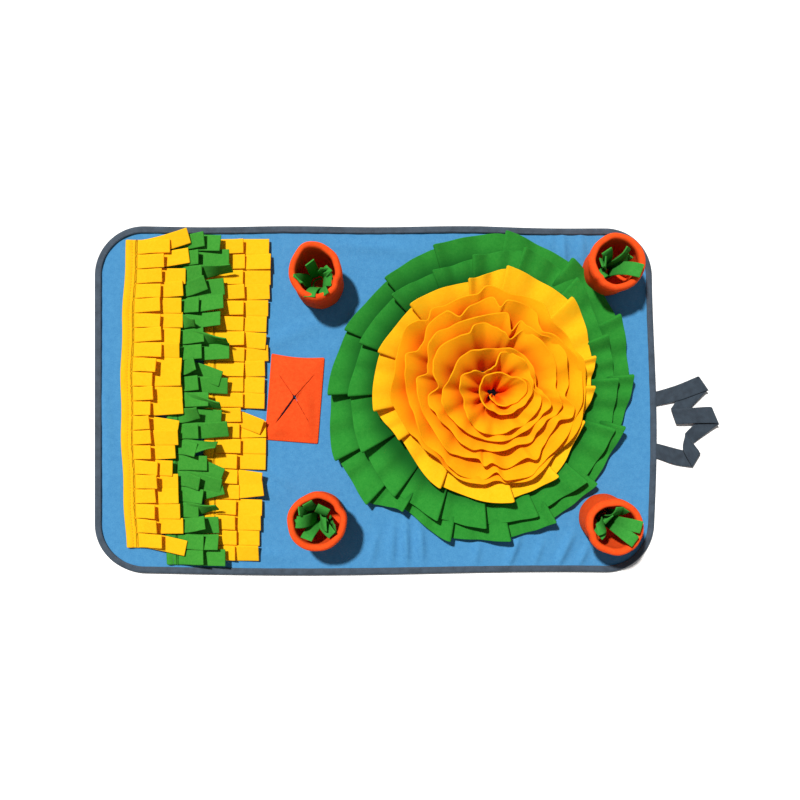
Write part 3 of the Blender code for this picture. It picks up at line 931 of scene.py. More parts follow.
@dataclass
class PleatedRuffle:
    """A knife-pleated strip lying outwards: each lip lies over the start of the next panel."""
    name: str
    node: str
    slot: str
    cloth: Fleece
    seam: float
    lips: tuple[tuple[float, float], ...]
    rise: float
    bow: float
    lip_lift: float
    centre: Vector
    ridge: float = 4.6 * MM
    edge_depth: float = 7 * MM
    seam_depth: float = 18 * MM
    shares: tuple[float, ...] = (0.0, 0.12, 0.26, 0.42, 0.58, 0.74, 0.87, 0.96, 0.99, 1.0)

    def _row(self, angle: float, back: float, edge: float, layer: float, lift: float) -> list[Vector]:
        """One profile from the seam to the free edge.

        Args:
            angle: Direction of the profile from the rosette's middle.
            back: How much of the pleat's depth the profile lies back from that direction.
            edge: Radius of the free edge.
            layer: Which of the pleat's layers this is, 0 below and 2 on top.
            lift: How far the free edge stands above its usual height.

        Returns:
            The points.
        """
        row = []
        for share in self.shares:
            radius = blend(self.seam, edge, share)
            bearing = angle - back * blend(self.seam_depth, self.edge_depth, share) / radius
            pitch = blend(1.1 * MM, 2.3 * MM, share)
            height = (self.rise + lift) * share + self.bow * math.sin(math.pi * share) + layer * pitch
            spot = Vector((math.cos(bearing) * radius, math.sin(bearing) * radius, height))
            row.append(self.centre + spot)
        return row

    def _pleat(self, here: tuple[float, float], before: tuple[float, float],
               index: int) -> list[list[Vector]]:
        """The profiles of one panel, from under the lip before it to its own folded lip.

        Args:
            here: The panel's lip as degrees and millimetres from the middle.
            before: The lip before it.
            index: The panel's number.

        Returns:
            The profiles in order round the ring.
        """
        lip, radius = math.radians(here[0]), here[1] * MM
        start, start_radius = math.radians(before[0]), before[1] * MM
        if start > lip:
            start -= 2 * math.pi
        top = self.lip_lift * (0.95 + 0.35 * math.sin(index * 2.3))
        sag = 2.0 * MM + 1.5 * MM * math.sin(index * 4.1)
        rows = [self._row(start, 1.0, start_radius - 5 * MM, 0.3, 0.0)]
        for share in (0.05, 0.15, 0.26, 0.37, 0.48, 0.59, 0.7, 0.8, 0.88, 0.95):
            edge = blend(start_radius - 3 * MM, radius, ease(share)) - sag * math.sin(math.pi * share)
            ridge = self.ridge * math.sin(12.5 * share + 2.1 * index) * math.sin(math.pi * share)
            lift = top * share ** 3 + ridge
            rows.append(self._row(blend(start, lip, share), 0.4 * (1 - share), edge, 2 * share ** 2, lift))
        rows.append(self._row(lip, 0.0, radius, 2.0, top))
        rows.append(self._row(lip + 1.6 * MM / radius, 0.0, radius - 0.6 * MM, 1.6, top * 0.85))
        rows.append(self._row(lip + 0.4 * MM / radius, 0.0, radius - 1.5 * MM, 1.1, top * 0.5))
        rows.append(self._row(lip, 0.5, radius - 3.5 * MM, 0.9, top * 0.12))
        return rows

    def build(self) -> None:
        """Make the ring of pleats."""
        rows = []
        for index, here in enumerate(self.lips):
            rows += self._pleat(here, self.lips[index - 1], index)
        builder = MeshBuilder()
        builder.grid(rows, closed=True)
        item = thicken(builder.build(self.name, self.cloth.build()), FLEECE_THICK)
        install(item, self.slot, self.node)


@dataclass
class StandingRuffle:
    """A gathered strip that stands up, leans outwards and waves along its free edge."""
    number: int
    seam: float
    shift: float
    rise: float
    marks: tuple[tuple[float, float], ...]
    middle: Vector
    eye: Vector
    inner: "StandingRuffle | None" = None
    spacing: float = 5.5 * MM
    petals: int = 9
    wave: float = 4.5 * MM
    count: int = 180
    shares: tuple[float, ...] = (0.0, 0.15, 0.32, 0.5, 0.66, 0.8, 0.9, 0.965, 0.99, 1.0)

    def __post_init__(self) -> None:
        """Place the seam's middle between the rosette's middle and its eye."""
        self.centre = self.middle.lerp(self.eye, self.shift)
        self.folds = 9 + int(self.seam / (8 * MM))
        self.gather = 3.4 * MM + 3.6 * MM * math.exp(-self.seam / (25 * MM))

    def edge_reach(self, angle: float) -> float:
        """Distance of the free edge from the rosette's eye, clear of the ring inside.

        Args:
            angle: Direction from the eye.

        Returns:
            The distance in metres.
        """
        reach = outline(self.marks, angle)
        if self.inner:
            reach = max(reach, self.inner.edge_reach(angle) + self.spacing)
        return reach

    def _profile(self, angle: float) -> list[Vector]:
        """The ring's section at an angle, from its gathered seam to its free edge.

        Args:
            angle: Direction from the ring's middle.

        Returns:
            The points.
        """
        bearing = Vector((math.cos(angle), math.sin(angle), 0))
        phase = self.seam * 700
        petal = math.sin(angle * self.petals + phase + 0.8 * math.sin(angle * 3 + phase))
        gather = math.sin(angle * self.folds + self.seam * 300)
        foot = self.centre + bearing * self.seam
        wave = self.wave * (petal + 0.35 * math.sin(angle * 13 + 2))
        tip = self.eye + bearing * self.edge_reach(angle) + Vector((0, 0, self.rise + wave))
        row = []
        for share in self.shares:
            belly = math.sin(math.pi * share)
            point = foot.lerp(tip, share) + Vector((0, 0, 4 * MM * belly))
            fold = gather * (self.gather * (1 - share) ** 1.3 + 0.4 * MM) * min(1.0, 0.3 + 3 * share)
            fold += petal * 2.4 * MM * belly - 4 * MM * belly
            row.append(point + bearing * fold)
        return row

    def build(self) -> None:
        """Make the ring."""
        rows = [self._profile(2 * math.pi * step / self.count) for step in range(self.count)]
        builder = MeshBuilder()
        builder.grid(rows, closed=True)
        name = f"yellow_ruffle_{self.number}"
        item = thicken(builder.build(name, ROSETTE_YELLOW.build()), FLEECE_THICK)
        install(item, "ruffle_yellow", f"ruffle_yellow_{self.number}")


@dataclass
class Heart:
    """The innermost strip, rolled a turn and a half into a bud."""
    eye: Vector
    turns: float = 1.55
    rise: float = 57 * MM

    def build(self) -> None:
        """Make the rolled strip, pinched into folds that meet low in the eye."""
        rows = []
        count = 120
        for step in range(count):
            share = step / (count - 1)
            angle = math.radians(32) - 2 * math.pi * self.turns * share
            bearing = Vector((math.cos(angle), math.sin(angle), 0))
            inner = ease((share - 0.55) / 0.45)
            edge = outline(HEART_EDGE, angle) * (1 - 0.62 * inner)
            seam = blend(12 * MM, 3 * MM, share)
            row = []
            for up in (0.0, 0.15, 0.32, 0.5, 0.66, 0.8, 0.9, 0.965, 0.99, 1.0):
                fold = 4.6 * MM * math.sin(angle * 5 + 0.7) * math.sin(math.pi * up) ** 0.7
                radius = blend(seam, edge, up ** 1.5) + fold * (1 - 0.5 * inner)
                height = self.rise * up * blend(1.0, 0.78, inner)
                height += 1.8 * MM * math.sin(angle * 5) * up
                row.append(self.eye + bearing * radius + Vector((0, 0, height)))
            rows.append(row)
        builder = MeshBuilder()
        builder.grid(rows)
        item = thicken(builder.build("rosette_heart", HEART_YELLOW.build()), FLEECE_THICK)
        install(item, "ruffle_yellow", "ruffle_heart")


# Number, seam radius (mm), share of the way to the eye, height (mm), and the free edge's outline
# about the eye as bearing (degrees) and reach (mm).
STANDING_RINGS = (
    (2, 88, 0.30, 41, (
        (0, 122), (22, 124), (40, 128), (52, 126), (63, 142), (80, 140), (95, 150), (100, 140),
        (119, 141), (127, 147), (133, 137), (137, 149), (143, 154), (152, 150), (161, 146), (168, 143),
        (180, 146), (202, 133), (214, 124), (225, 119), (247, 124), (262, 128), (270, 121), (292, 129),
        (315, 119), (337, 125))),
    (3, 74, 0.45, 45, (
        (20, 124), (36, 116), (53, 106), (58, 112), (62, 125), (68, 129), (84, 130), (87, 116), (91, 134),
        (105, 127), (116, 116), (120, 133), (128, 134), (134, 133), (145, 123), (152, 123), (156, 136),
        (165, 130), (177, 124), (186, 121), (194, 116), (214, 120), (230, 115), (238, 120), (246, 124),
        (262, 122), (271, 108), (276, 121), (293, 124), (302, 118), (312, 114), (335, 115), (355, 119))),
    (4, 60, 0.60, 48, (
        (8, 102), (18, 104), (33, 111), (42, 110), (59, 96), (66, 103), (71, 108), (76, 86), (81, 113),
        (101, 108), (124, 111), (134, 118), (142, 116), (157, 103), (164, 98), (169, 112), (175, 110),
        (192, 105), (211, 100), (231, 104), (240, 100), (256, 93), (261, 103), (266, 96), (278, 105),
        (296, 98), (301, 107), (311, 99), (324, 94), (337, 94), (342, 110), (349, 110), (358, 95))),
    (5, 47, 0.70, 50, (
        (5, 82), (15, 87), (26, 91), (36, 94), (56, 95), (65, 98), (76, 76), (83, 85), (91, 92), (99, 99),
        (108, 99), (114, 91), (123, 94), (142, 101), (151, 98), (160, 93), (174, 80), (183, 94),
        (190, 95), (199, 87), (220, 81), (238, 84), (247, 85), (257, 79), (267, 81), (290, 77), (306, 83),
        (316, 78), (331, 78), (342, 90), (349, 93), (357, 86))),
    (6, 31, 0.85, 52, (
        (2, 64), (10, 56), (26, 57), (43, 62), (58, 63), (80, 61), (109, 63), (123, 69), (134, 70),
        (151, 67), (165, 68), (178, 74), (189, 77), (198, 74), (215, 70), (230, 67), (262, 66), (282, 67),
        (301, 65), (317, 67), (334, 70), (347, 77))),
    (7, 17, 0.95, 54, (
        (9, 51), (23, 53), (40, 57), (55, 59), (70, 60), (83, 57), (93, 38), (106, 34), (119, 33),
        (138, 45), (155, 54), (169, 52), (190, 46), (208, 49), (229, 54), (245, 57), (262, 58), (279, 56),
        (297, 54), (314, 59), (331, 60), (353, 63))),
)
HEART_EDGE = (
    (4, 49), (19, 48), (34, 41), (49, 31), (69, 29), (100, 28), (124, 29), (148, 25), (175, 24),
    (216, 23), (259, 25), (283, 30), (318, 35), (342, 43))


@dataclass
class Rosette:
    """Two green and eight yellow ruffles sewn one inside the other."""
    seam_z: float = MAT_TOP + 1.3 * MM
    eye_shift: Vector = field(default_factory=lambda: Vector((20 * MM, -10 * MM, 0)))
    outer_shift: Vector = field(default_factory=lambda: Vector((2.4 * MM, -1.4 * MM, 0)))

    def __post_init__(self) -> None:
        """Place the rosette's middle and its eye."""
        middle = box_centre("ruffle_yellow_1") - self.outer_shift
        self.middle = Vector((middle.x, middle.y, self.seam_z))
        self.eye = self.middle + self.eye_shift

    def build_green(self) -> None:
        """The two pleated green ruffles."""
        outer = (
            (27, 222), (54, 222), (80, 223), (108, 209), (131, 203), (157, 207), (183, 214), (207, 229),
            (226, 231), (238, 207), (259, 223), (281, 222), (299, 219), (320, 216), (344, 212),
            (364, 217))
        PleatedRuffle("green_ruffle_outer", "ruffle_green_outer", "ruffle_green", GREEN_FLEECE,
                      146 * MM, outer, 8.0 * MM, 1.0 * MM, 14.0 * MM, self.middle).build()
        inner = (
            (3, 194), (22, 192), (48, 205), (72, 204), (93, 184), (112, 176), (134, 178), (160, 180),
            (184, 186), (209, 190), (232, 196), (252, 198), (272, 199), (294, 200), (318, 200),
            (342, 198))
        PleatedRuffle("green_ruffle_inner", "ruffle_green_inner", "ruffle_green", GREEN_FLEECE,
                      124 * MM, inner, 15 * MM, 4.0 * MM, 13.0 * MM, self.middle).build()

    def build_yellow(self) -> None:
        """The pleated yellow ruffle, the standing ones and the heart."""
        lips = (
            (15, 163), (45, 176), (78, 173), (97, 152), (131, 153), (161, 154), (192, 155), (212, 138),
            (247, 153), (285, 165), (310, 164), (341, 150), (360, 156))
        PleatedRuffle("yellow_ruffle_1", "ruffle_yellow_1", "ruffle_yellow", FRINGE_YELLOW,
                      104 * MM, lips, 25 * MM, 5.0 * MM, 12.0 * MM,
                      self.middle + self.outer_shift).build()
        inner = None
        for number, seam, shift, rise, marks in reversed(STANDING_RINGS):
            ring = StandingRuffle(number, seam * MM, shift, rise * MM, marks, self.middle, self.eye, inner)
            ring.build()
            inner = ring
        Heart(self.eye).build()

    def build(self) -> None:
        """Make the whole rosette."""
        self.build_green()
        self.build_yellow()


# ------------------------------------------------------------------ slit patch

@dataclass
class SlitPatch:
    """An oblong of orange-red fleece sewn down round its rim, with an X cut in it."""
    width: float = 76.5 * MM
    length: float = 124 * MM
    turn: float = math.radians(-4.5)
    spacing: float = 3.0 * MM

    def __post_init__(self) -> None:
        """Find the patch's middle in the frame."""
        middle = box_centre("slit_patch")
        self.middle = Vector((middle.x, middle.y, 0))

    def outline(self) -> list[tuple[float, float]]:
        """The rim, its upper edge dipping a little in the middle.

        Returns:
            Points anticlockwise, about the patch's middle.
        """
        half_x, half_y = self.width / 2, self.length / 2
        loop = []
        corners = ((-1, -1), (1, -1), (1, 1), (-1, 1), (-1, -1))
        for (x0, y0), (x1, y1) in zip(corners, corners[1:]):
            for step in range(24):
                share = step / 24
                x, y = blend(x0, x1, share) * half_x, blend(y0, y1, share) * half_y
                dip = 3.0 * MM * math.sin(math.pi * share) if y0 == 1 == y1 else 0.0
                loop.append((x, y - dip))
        return loop

    def cut(self) -> list[tuple[float, float]]:
        """The X cut's edge: four slim arms, the lower left one gaping.

        Returns:
            Points round the cut, about the patch's middle.
        """
        arms = (((27, 38), 0.1), ((26, -36), 0.0), ((-25, -39), 1.0), ((-27, 35), 0.0))
        middle = (0.5, 2.0)
        loop = []
        for tip, gape in arms:
            run = Vector(tip) - Vector(middle)
            side = Vector((-run.y, run.x)).normalized()
            for share in (0.05, 0.2, 0.4, 0.6, 0.8):
                wide = gape * math.sin(math.pi * (0.15 + 0.85 * share)) + 0.06
                loop.append(Vector(middle) + run * share + side * wide)
            loop.append(Vector(tip))
            for share in (0.8, 0.6, 0.4, 0.2, 0.05):
                wide = gape * math.sin(math.pi * (0.15 + 0.85 * share)) + 0.06
                loop.append(Vector(middle) + run * share - side * wide)
        return [(point.x * MM, point.y * MM) for point in loop]

    @staticmethod
    def _inside(point: tuple[float, float], loop: list[tuple[float, float]]) -> bool:
        """Whether a point lies inside a loop.

        Args:
            point: The point.
            loop: The loop's points.

        Returns:
            True if it does.
        """
        x, y = point
        inside = False
        for (x0, y0), (x1, y1) in zip(loop, loop[1:] + loop[:1]):
            if (y0 > y) != (y1 > y) and x < (x1 - x0) * (y - y0) / (y1 - y0) + x0:
                inside = not inside
        return inside

    def height(self, x: float, y: float) -> float:
        """Height of the patch: it rises towards its cuts, and the flap left of them rides up most.

        Args:
            x: The point's place across the patch.
            y: Its place along the patch.

        Returns:
            The height in metres.
        """
        rim = min(self.width / 2 - abs(x), self.length / 2 - abs(y))
        crown = ease(rim / (22 * MM)) * 4.0 * MM
        crown *= 1 + 0.4 * math.sin(x * 110 + y * 60 + 0.6)
        slope = (y * 26 - x * 38) / 46
        flap = ease((slope + 1 * MM) / (2 * MM)) * math.exp(-max(0.0, slope) / (16 * MM))
        near = math.exp(-((x * 26 + y * 38 + 0.35) / 46 / (28 * MM)) ** 2)
        return MAT_TOP + 1.3 * MM + crown + 5.0 * MM * flap * near

    def build(self) -> None:
        """Make the patch and its border stitches."""
        rim, cut = self.outline(), self.cut()
        points = [Vector(point) for point in rim + cut]
        edges = [(at, (at + 1) % len(rim)) for at in range(len(rim))]
        edges += [(len(rim) + at, len(rim) + (at + 1) % len(cut)) for at in range(len(cut))]
        steps_x, steps_y = int(self.width / self.spacing), int(self.length / self.spacing)
        for row in range(1, steps_y):
            for column in range(1, steps_x):
                spot = (self.width * (column / steps_x - 0.5), self.length * (row / steps_y - 0.5))
                near_cut = min(math.hypot(spot[0] - x, spot[1] - y) for x, y in cut)
                if near_cut > 1.6 * MM and not self._inside(spot, cut) and self._inside(spot, rim):
                    points.append(Vector(spot))
        flat, _, triangles, *_ = delaunay_2d_cdt(points, edges, [], 0, 1e-7)
        builder = MeshBuilder()
        cos_turn, sin_turn = math.cos(self.turn), math.sin(self.turn)
        for spot in flat:
            place = Vector((spot.x * cos_turn - spot.y * sin_turn, spot.x * sin_turn + spot.y * cos_turn,
                            self.height(spot.x, spot.y)))
            builder.put(self.middle + place, (spot.x, spot.y))
        for face in triangles:
            middle = sum((flat[at] for at in face), Vector((0, 0))) / len(face)
            if self._inside(middle, rim) and not self._inside(middle, cut):
                builder.faces.append(tuple(face))
        item = thicken(builder.build("patch_fleece_slit", PATCH_FLEECE.build()), FLEECE_THICK)
        install(item, "patch_fleece", "slit_patch")
        self._border(cos_turn, sin_turn)

    def _border(self, cos_turn: float, sin_turn: float) -> None:
        """The stitches that hold the patch down, 3 mm in from its rim.

        Args:
            cos_turn: Cosine of the patch's turn.
            sin_turn: Its sine.
        """
        shrink_x, shrink_y = 1 - 6 * MM / self.width, 1 - 6 * MM / self.length
        rim = self.outline()
        path = []
        for x, y in rim + rim[:1]:
            x, y = x * shrink_x, y * shrink_y
            path.append(self.middle + Vector((x * cos_turn - y * sin_turn, x * sin_turn + y * cos_turn,
                                              self.height(x, y) + 0.9 * MM)))
        builder = MeshBuilder()
        StitchRow().sew(builder, path)
        install(builder.build("patch_stitches", ORANGE_THREAD.build()), "patch_fleece")


# ------------------------------------------------------------------ cups

@dataclass
class Leaf:
    """One fleece leaf: how it stands, bends and rolls inside its cup."""
    azimuth: float
    root: float
    knee: tuple[float, float]
    tip: tuple[float, float]
    sway: float = 0.0
    roll: float = 0.0
    width: float = 15 * MM

    def rows(self, foot: Vector) -> list[list[Vector]]:
        """The leaf's sections from its root to its tip.

        Args:
            foot: Middle of the cup's floor.

        Returns:
            Rows of points across the leaf.
        """
        azimuth = math.radians(self.azimuth)
        bearing = Vector((math.cos(azimuth), math.sin(azimuth), 0))
        tangent = Vector((-bearing.y, bearing.x, 0))
        start = Vector((self.root, 4)) * MM
        knee, tip = Vector(self.knee) * MM, Vector(self.tip) * MM
        rows = []
        steps = (0.0, 0.15, 0.3, 0.45, 0.6, 0.72, 0.84, 0.93, 0.985, 1.0)
        for share in steps:
            flat = start * (1 - share) ** 2 + knee * 2 * share * (1 - share) + tip * share ** 2
            slope = (knee - start) * (1 - share) + (tip - knee) * share
            run = (bearing * slope.x + Vector((0, 0, slope.y))).normalized()
            middle = foot + bearing * flat.x + Vector((0, 0, flat.y))
            middle += tangent * self.sway * MM * ease(share)
            roll = math.radians(self.roll) * ease(share)
            side = tangent * math.cos(roll) + run.cross(tangent) * math.sin(roll)
            rows.append([middle + side * self.width * at for at in (-0.5, -0.45, 0.0, 0.45, 0.5)])
        return rows


@dataclass
class Cup:
    """A fleece cup with a rolled cuff and a tuft of leaves."""
    number: int
    mouth: tuple[float, ...]
    lean: tuple[float, float]
    seam_deg: float
    leaves: tuple[Leaf, ...]
    shift: tuple[float, float] = (0.0, 0.0)
    height: float = 70 * MM
    base: float = 34 * MM
    facets: int = 56

    def __post_init__(self) -> None:
        """Find the cup's foot, from the rim's middle and the cup's lean."""
        low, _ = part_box(f"cup_{self.number}")
        tilt = Vector(self.lean) * self.height
        middle = box_centre(f"cup_{self.number}") - Vector((tilt.x, tilt.y, 0)) * 0.5
        self.foot = Vector((middle.x + self.shift[0] * MM, middle.y + self.shift[1] * MM, low[2]))

    def _ring(self, share: float, outset: float) -> list[Vector]:
        """A loop round the cup.

        Args:
            share: Share of the cup's height.
            outset: How far the loop lies outside the wall's middle.

        Returns:
            The loop's points.
        """
        loop = []
        for facet in range(self.facets):
            angle = 2 * math.pi * facet / self.facets
            mouth = around(self.mouth, angle) * MM
            radius = blend(self.base, mouth, ease(share) * 0.6 + share * 0.4) + outset
            radius += 0.5 * MM * math.sin(angle * 5 + share * 4 + self.number) * share
            radius += 0.25 * MM * math.sin(angle * 9 + share * 7 + self.number * 2)
            off = math.remainder(angle - math.radians(self.seam_deg), 2 * math.pi) / math.radians(7)
            radius -= 2.6 * MM * math.exp(-off * off) * ease(share)
            lean = Vector((self.lean[0], self.lean[1], 0)) * self.height * share
            rise = self.height * share + 1.6 * MM * math.sin(angle * 3 + self.number) * ease(share)
            spot = Vector((math.cos(angle) * radius, math.sin(angle) * radius, rise))
            loop.append(self.foot + lean + spot)
        return loop

    def build_shell(self) -> None:
        """The cup: outer wall, rolled cuff, inner wall and floor."""
        profile = [
            (0.0, -14), (0.0, -2.0), (0.015, -0.3), (0.05, 0.4), (0.2, 0.9), (0.4, 1.0), (0.6, 0.9),
            (0.7, 1.0), (0.735, 1.2), (0.75, 3.0), (0.79, 4.6), (0.86, 5.2), (0.93, 5.0), (0.98, 3.2),
            (1.0, 0.3), (0.99, -2.6), (0.96, -4.4), (0.9, -5.0), (0.84, -4.6), (0.8, -3.6), (0.7, -3.0),
            (0.5, -3.0), (0.3, -3.0), (0.12, -3.0), (0.06, -3.6), (0.045, -6.0), (0.045, -14)]
        rows = [self._ring(share, outset * MM) for share, outset in profile]
        builder = MeshBuilder()
        builder.grid(rows, ring=True)
        wide = self.facets
        builder.cap(list(reversed(range(wide))))
        last = len(builder.points)
        builder.cap(list(range(last - wide, last)))
        item = builder.build(f"fleece_cup_{self.number}", CUP_FLEECE.build())
        install(soften(item), "cup_fleece", f"cup_{self.number}")

    def build_leaves(self) -> None:
        """The tuft of leaves on the cup's floor."""
        builder = MeshBuilder()
        floor = self.foot + Vector((0, 0, 0.05 * self.height))
        band = []
        for step in range(25):
            angle = math.radians(self.leaves[0].azimuth) + step / 24 * 2 * math.pi * 0.86
            band.append([floor + Vector((math.cos(angle) * 9 * MM, math.sin(angle) * 9 * MM, rise * MM))
                         for rise in (1.2, 4.0, 8.0)])
        builder.grid(band)
        for leaf in self.leaves:
            builder.grid(leaf.rows(floor))
        item = thicken(builder.build(f"leaf_strips_{self.number}", LEAF_FLEECE.build()), FLEECE_THICK)
        install(item, "leaf_fleece", f"leaf_tuft_{self.number}")

    def build(self) -> None:
        """Make the cup and its leaves."""
        self.build_shell()
        self.build_leaves()


def make_cups() -> list[Cup]:
    """The four cups, each with its own squashed mouth and leaves.

    Returns:
        The cups.
    """
    return [
        Cup(1, (32, 31, 32, 34, 36, 36, 33, 31, 31, 31, 32, 34, 36, 36, 34, 33), (-0.02, 0.18), 335, (
            Leaf(62, 12, (14, 66), (19, 70), -6, 35, 16 * MM),
            Leaf(38, 10, (12, 70), (24, 68), 0, -40, 16 * MM),
            Leaf(15, 10, (10, 68), (23, 68), 0, 45),
            Leaf(-8, 8, (6, 66), (22, 66), 2, 12, 17 * MM),
            Leaf(160, 12, (24, 50), (23, 72), 8, 60, 16 * MM),
            Leaf(185, 12, (22, 46), (24, 68), -2, 50, 16 * MM),
            Leaf(265, 6, (6, 62), (25, 67), -6, 12, 16 * MM),
            Leaf(292, 8, (10, 64), (25, 66), 4, 40),
            Leaf(110, 12, (20, 50), (25, 62), 0, 20)), (0, 0)),
        Cup(2, (34, 33, 34, 34, 34, 34, 34, 33, 33, 33, 34, 35, 36, 35, 34, 34), (0.03, 0.09), 225, (
            Leaf(118, 8, (14, 66), (24, 72), 4, 12, 17 * MM),
            Leaf(150, 8, (12, 68), (17, 70), 4, 30, 17 * MM),
            Leaf(175, 8, (10, 62), (22, 66), -2, 35, 16 * MM),
            Leaf(70, 4, (8, 70), (27, 72), -6, 60, 16 * MM),
            Leaf(205, 8, (12, 60), (23, 62), 2, 30),
            Leaf(-20, 2, (2, 73), (33, 76), 2, 6, 19 * MM),
            Leaf(40, 12, (20, 44), (25, 56), 0, 15)), (0, 0)),
        Cup(3, (36, 36, 36, 36, 36, 35, 35, 36, 36, 36, 36, 36, 36, 35, 35, 36), (0.0, -0.02), 30, (
            Leaf(62, 4, (6, 70), (24, 74), 0, 5, 18 * MM),
            Leaf(4, 2, (4, 76), (14, 74), -4, 10, 20 * MM),
            Leaf(172, 4, (8, 68), (27, 70), 4, 28, 17 * MM),
            Leaf(196, 8, (16, 58), (28, 62), -4, 40),
            Leaf(140, 12, (20, 60), (28, 68), 4, 60),
            Leaf(104, 10, (16, 60), (28, 68), 6, 25),
            Leaf(312, 4, (10, 68), (28, 70), 4, 35, 17 * MM),
            Leaf(248, 6, (14, 62), (28, 66), -4, 14, 17 * MM),
            Leaf(-24, 12, (22, 54), (28, 64), 0, 35)), (1.5, -0.5)),
        Cup(4, (34, 34, 33, 32, 32, 33, 34, 35, 35, 34, 34, 34, 35, 35, 35, 35), (0.05, -0.07), 200, (
            Leaf(-16, 2, (6, 74), (35, 77), 6, 5, 17 * MM),
            Leaf(-34, 2, (6, 74), (36, 75), -4, 5, 17 * MM),
            Leaf(80, 4, (8, 68), (24, 70), -4, 40, 17 * MM),
            Leaf(120, 2, (4, 74), (11, 70), 3, 22, 17 * MM),
            Leaf(190, 4, (8, 70), (24, 68), 4, 28, 17 * MM),
            Leaf(220, 8, (14, 60), (26, 60), 0, 20, 17 * MM),
            Leaf(48, 10, (18, 56), (26, 64), 0, 20)), (0, 0)),
    ]


# ------------------------------------------------------------------ carry strap

@dataclass
class CarryStrap:
    """A loop of slate webbing whose ends are sewn under the binding, lying in flat folds."""
    thickness: float = 1.5 * MM
    samples: int = 7
    stations: tuple = (
        # both edges (mm) and height (mm), from the upper end to the lower end
        ((398.0, 12.5), (398.0, -8.5), 2.2), ((404.0, 13.2), (404.0, -8.0), 2.6),
        ((430.0, 21.5), (435.0, 0.0), 5.5), ((452.0, 31.0), (464.0, 11.0), 9.0),
        ((457.5, 33.5), (471.5, 13.5), 10.6), ((459.5, 33.0), (473.3, 12.8), 9.2),
        ((457.0, 31.5), (470.5, 11.5), 7.6), ((438.0, 12.0), (452.0, -9.0), 4.4),
        ((424.5, -8.5), (432.5, -30.0), 3.0), ((422.2, -11.5), (430.0, -33.5), 4.6),
        ((424.5, -12.5), (432.0, -34.5), 6.6), ((450.0, -11.0), (457.0, -33.0), 9.0),
        ((472.0, -9.5), (482.0, -33.0), 11.2), ((477.5, -10.5), (488.0, -35.0), 10.2),
        ((475.0, -12.5), (485.0, -37.0), 8.0), ((458.0, -31.0), (471.0, -48.5), 4.8),
        ((444.5, -45.0), (456.5, -60.0), 3.2), ((441.8, -48.0), (453.5, -62.5), 4.8),
        ((440.5, -52.5), (455.5, -66.0), 6.8), ((437.5, -70.0), (460.0, -71.5), 8.0),
        ((449.0, -92.0), (461.5, -74.5), 7.6), ((451.5, -95.0), (463.0, -75.5), 5.8),
        ((448.5, -95.5), (460.0, -76.5), 3.8), ((427.0, -92.5), (432.0, -70.0), 2.8),
        ((404.0, -84.5), (404.0, -62.5), 2.5), ((398.0, -83.5), (398.0, -62.0), 2.2),
    )

    def _curve(self, index: int, share: float) -> tuple[Vector, Vector]:
        """Both edges of the webbing between two stations, on a smooth curve.

        Args:
            index: The station before.
            share: How far on towards the next station.

        Returns:
            The two edge points.
        """
        ends = []
        last = len(self.stations) - 1
        for edge in (0, 1):
            near = [self.stations[min(max(index + step, 0), last)] for step in (-1, 0, 1, 2)]
            ends.append(cubic(tuple(Vector((*spot[edge], spot[2])) * MM for spot in near), share))
        return ends[0], ends[1]

    def build(self) -> None:
        """Make the strap."""
        rows = []
        for index in range(len(self.stations) - 1):
            for step in range(self.samples):
                first, second = self._curve(index, step / self.samples)
                rows.append([first.lerp(second, at) for at in (0.0, 0.04, 0.35, 0.65, 0.96, 1.0)])
        builder = MeshBuilder()
        builder.grid(rows)
        item = thicken(builder.build("carry_strap_webbing", STRAP_WEBBING.build()), self.thickness)
        install(item, "strap_webbing", "carry_strap")


# ------------------------------------------------------------------ studio

@dataclass
class Studio:
    """A plain pale floor, a key light from the upper left with soft fill, and the camera."""
    camera_height: float = 1.3
    view_x: float = 34.4 * MM
    lens: float = 40.8
    key_power: float = 4.6
    key_angle: float = math.radians(4)
    key_run: tuple[float, float, float] = (0.55, -0.83, -math.tan(math.radians(60)))
    fill: float = 0.21
    floor_half: float = 12.0

    def build(self) -> None:
        """Make the floor, the lights and the camera."""
        floor_mesh = MeshBuilder()
        half = self.floor_half
        floor_mesh.grid([[Vector((x, y, 0)) for x in (-half, half)] for y in (half, -half)])
        paper = bpy.data.materials.new("white_backdrop_paper")
        paper.use_nodes = True
        shader = paper.node_tree.nodes["Principled BSDF"]
        shader.inputs["Base Color"].default_value = (*linear("FFFFFF"), 1)
        shader.inputs["Roughness"].default_value = 0.9
        floor = floor_mesh.build("studio_floor", paper)
        floor.location.z = -0.2 * MM
        self._key()
        self._world()
        self._camera()

    def _key(self) -> None:
        """A small bright sun from the upper left."""
        sun = bpy.data.lights.new("key_sun", "SUN")
        sun.energy = self.key_power
        sun.angle = self.key_angle
        sun.color = (1.0, 0.98, 0.95)
        item = bpy.data.objects.new("key_sun", sun)
        item.rotation_mode = "QUATERNION"
        item.rotation_quaternion = Vector(self.key_run).to_track_quat("-Z", "Y")
        bpy.context.collection.objects.link(item)

    def _world(self) -> None:
        """Even white fill from all round."""
        world = bpy.data.worlds.new("soft_fill")
        world.use_nodes = True
        back = world.node_tree.nodes["Background"]
        back.inputs["Color"].default_value = (1, 1, 1, 1)
        back.inputs["Strength"].default_value = self.fill
        bpy.context.scene.world = world
        bpy.context.scene.view_settings.view_transform = "Standard"

    def _camera(self) -> None:
        """The camera straight above the mat."""
        data = bpy.data.cameras.new("view_from_above")
        data.lens = self.lens
        data.sensor_width = 36
        item = bpy.data.objects.new("view_from_above", data)
        item.location = (self.view_x, 0, self.camera_height)
        bpy.context.collection.objects.link(item)
        bpy.context.scene.camera = item


# ------------------------------------------------------------------ the whole mat

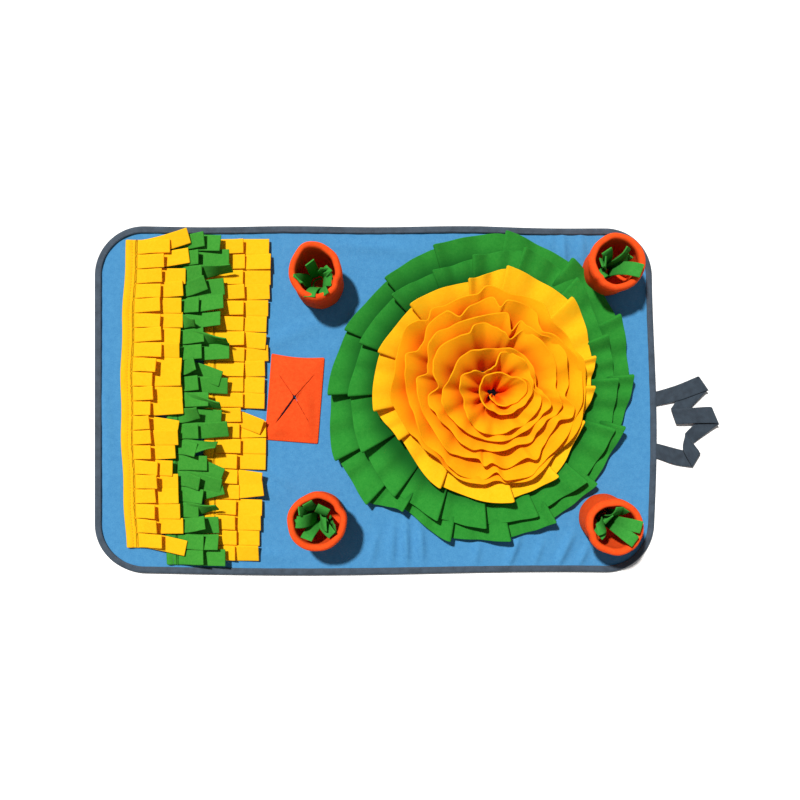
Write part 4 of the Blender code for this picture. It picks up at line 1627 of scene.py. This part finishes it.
def make_fringe() -> list[FringeRow]:
    """The three rows of fringe, from the left.

    Returns:
        The rows.
    """
    yellow_1 = FringeRow(
        1, "fringe_row_1", "fringe_yellow", FRINGE_YELLOW,
        upper_reach=(66, 58, 57, 60, 51, 46, 45, 54, 48, 57),
        lower_reach=(96, 92, 86, 88, 87, 92, 90, 84, 74, 81, 83, 88),
        climb=6.6 * MM, bow=8 * MM, yaw=math.radians(2.5), twist=math.radians(4), lift=9.0 * MM, seed=3,
        odd=(
            (20, False, 15, 8, 9), (19, False, 8, -4, 7), (8, False, -9, 0, 5), (4, True, 3, 5, 12),
            (0, False, -12, 0, 4), (12, True, -4, -6, 11)))
    green = FringeRow(
        2, "fringe_row_2", "fringe_green", FRINGE_GREEN,
        upper_reach=(60, 54, 56, 52, 58, 54, 56, 54, 58),
        lower_reach=(88, 90, 84, 86, 85, 88, 86, 80, 76, 84, 87),
        climb=6.6 * MM, bow=0.0, yaw=math.radians(8), twist=math.radians(20), lift=12.0 * MM, seed=11,
        ragged=8.0,
        odd=(
            (20, True, 5, 4, 12), (18, False, 6, 70, 6), (17, True, 16, 15, 10), (15, True, -12, 62, 12),
            (14, False, -8, 74, 8), (12, True, 18, -25, 12), (10, False, -10, 66, 9),
            (9, True, 10, 40, 12), (7, False, 6, -72, 8), (5, True, -14, 20, 10), (3, False, 8, 68, 6),
            (2, True, 14, -30, 12)))
    yellow_3 = FringeRow(
        3, "fringe_row_3", "fringe_yellow", FRINGE_YELLOW,
        upper_reach=(60, 60, 58, 58, 57, 54, 50, 49, 48),
        lower_reach=(95, 96, 93, 93, 90, 90, 90, 88, 85, 83, 82),
        climb=0.0, bow=0.0, yaw=math.radians(2), twist=math.radians(4), lift=7.5 * MM, seed=8,
        odd=(
            (9, False, -20, 18, 9), (4, False, 8, -6, 15), (5, False, -6, 8, 14), (14, False, -5, 4, 9)))
    return [yellow_1, green, yellow_3]


def main() -> None:
    """Build every class in order."""
    logging.basicConfig(level=logging.INFO, format="%(name)s %(message)s")
    Studio().build()
    MatBase().build()
    for row in make_fringe():
        row.build()
    SlitPatch().build()
    Rosette().build()
    for cup in make_cups():
        cup.build()
    CarryStrap().build()


if __name__ == "__main__":
    main()
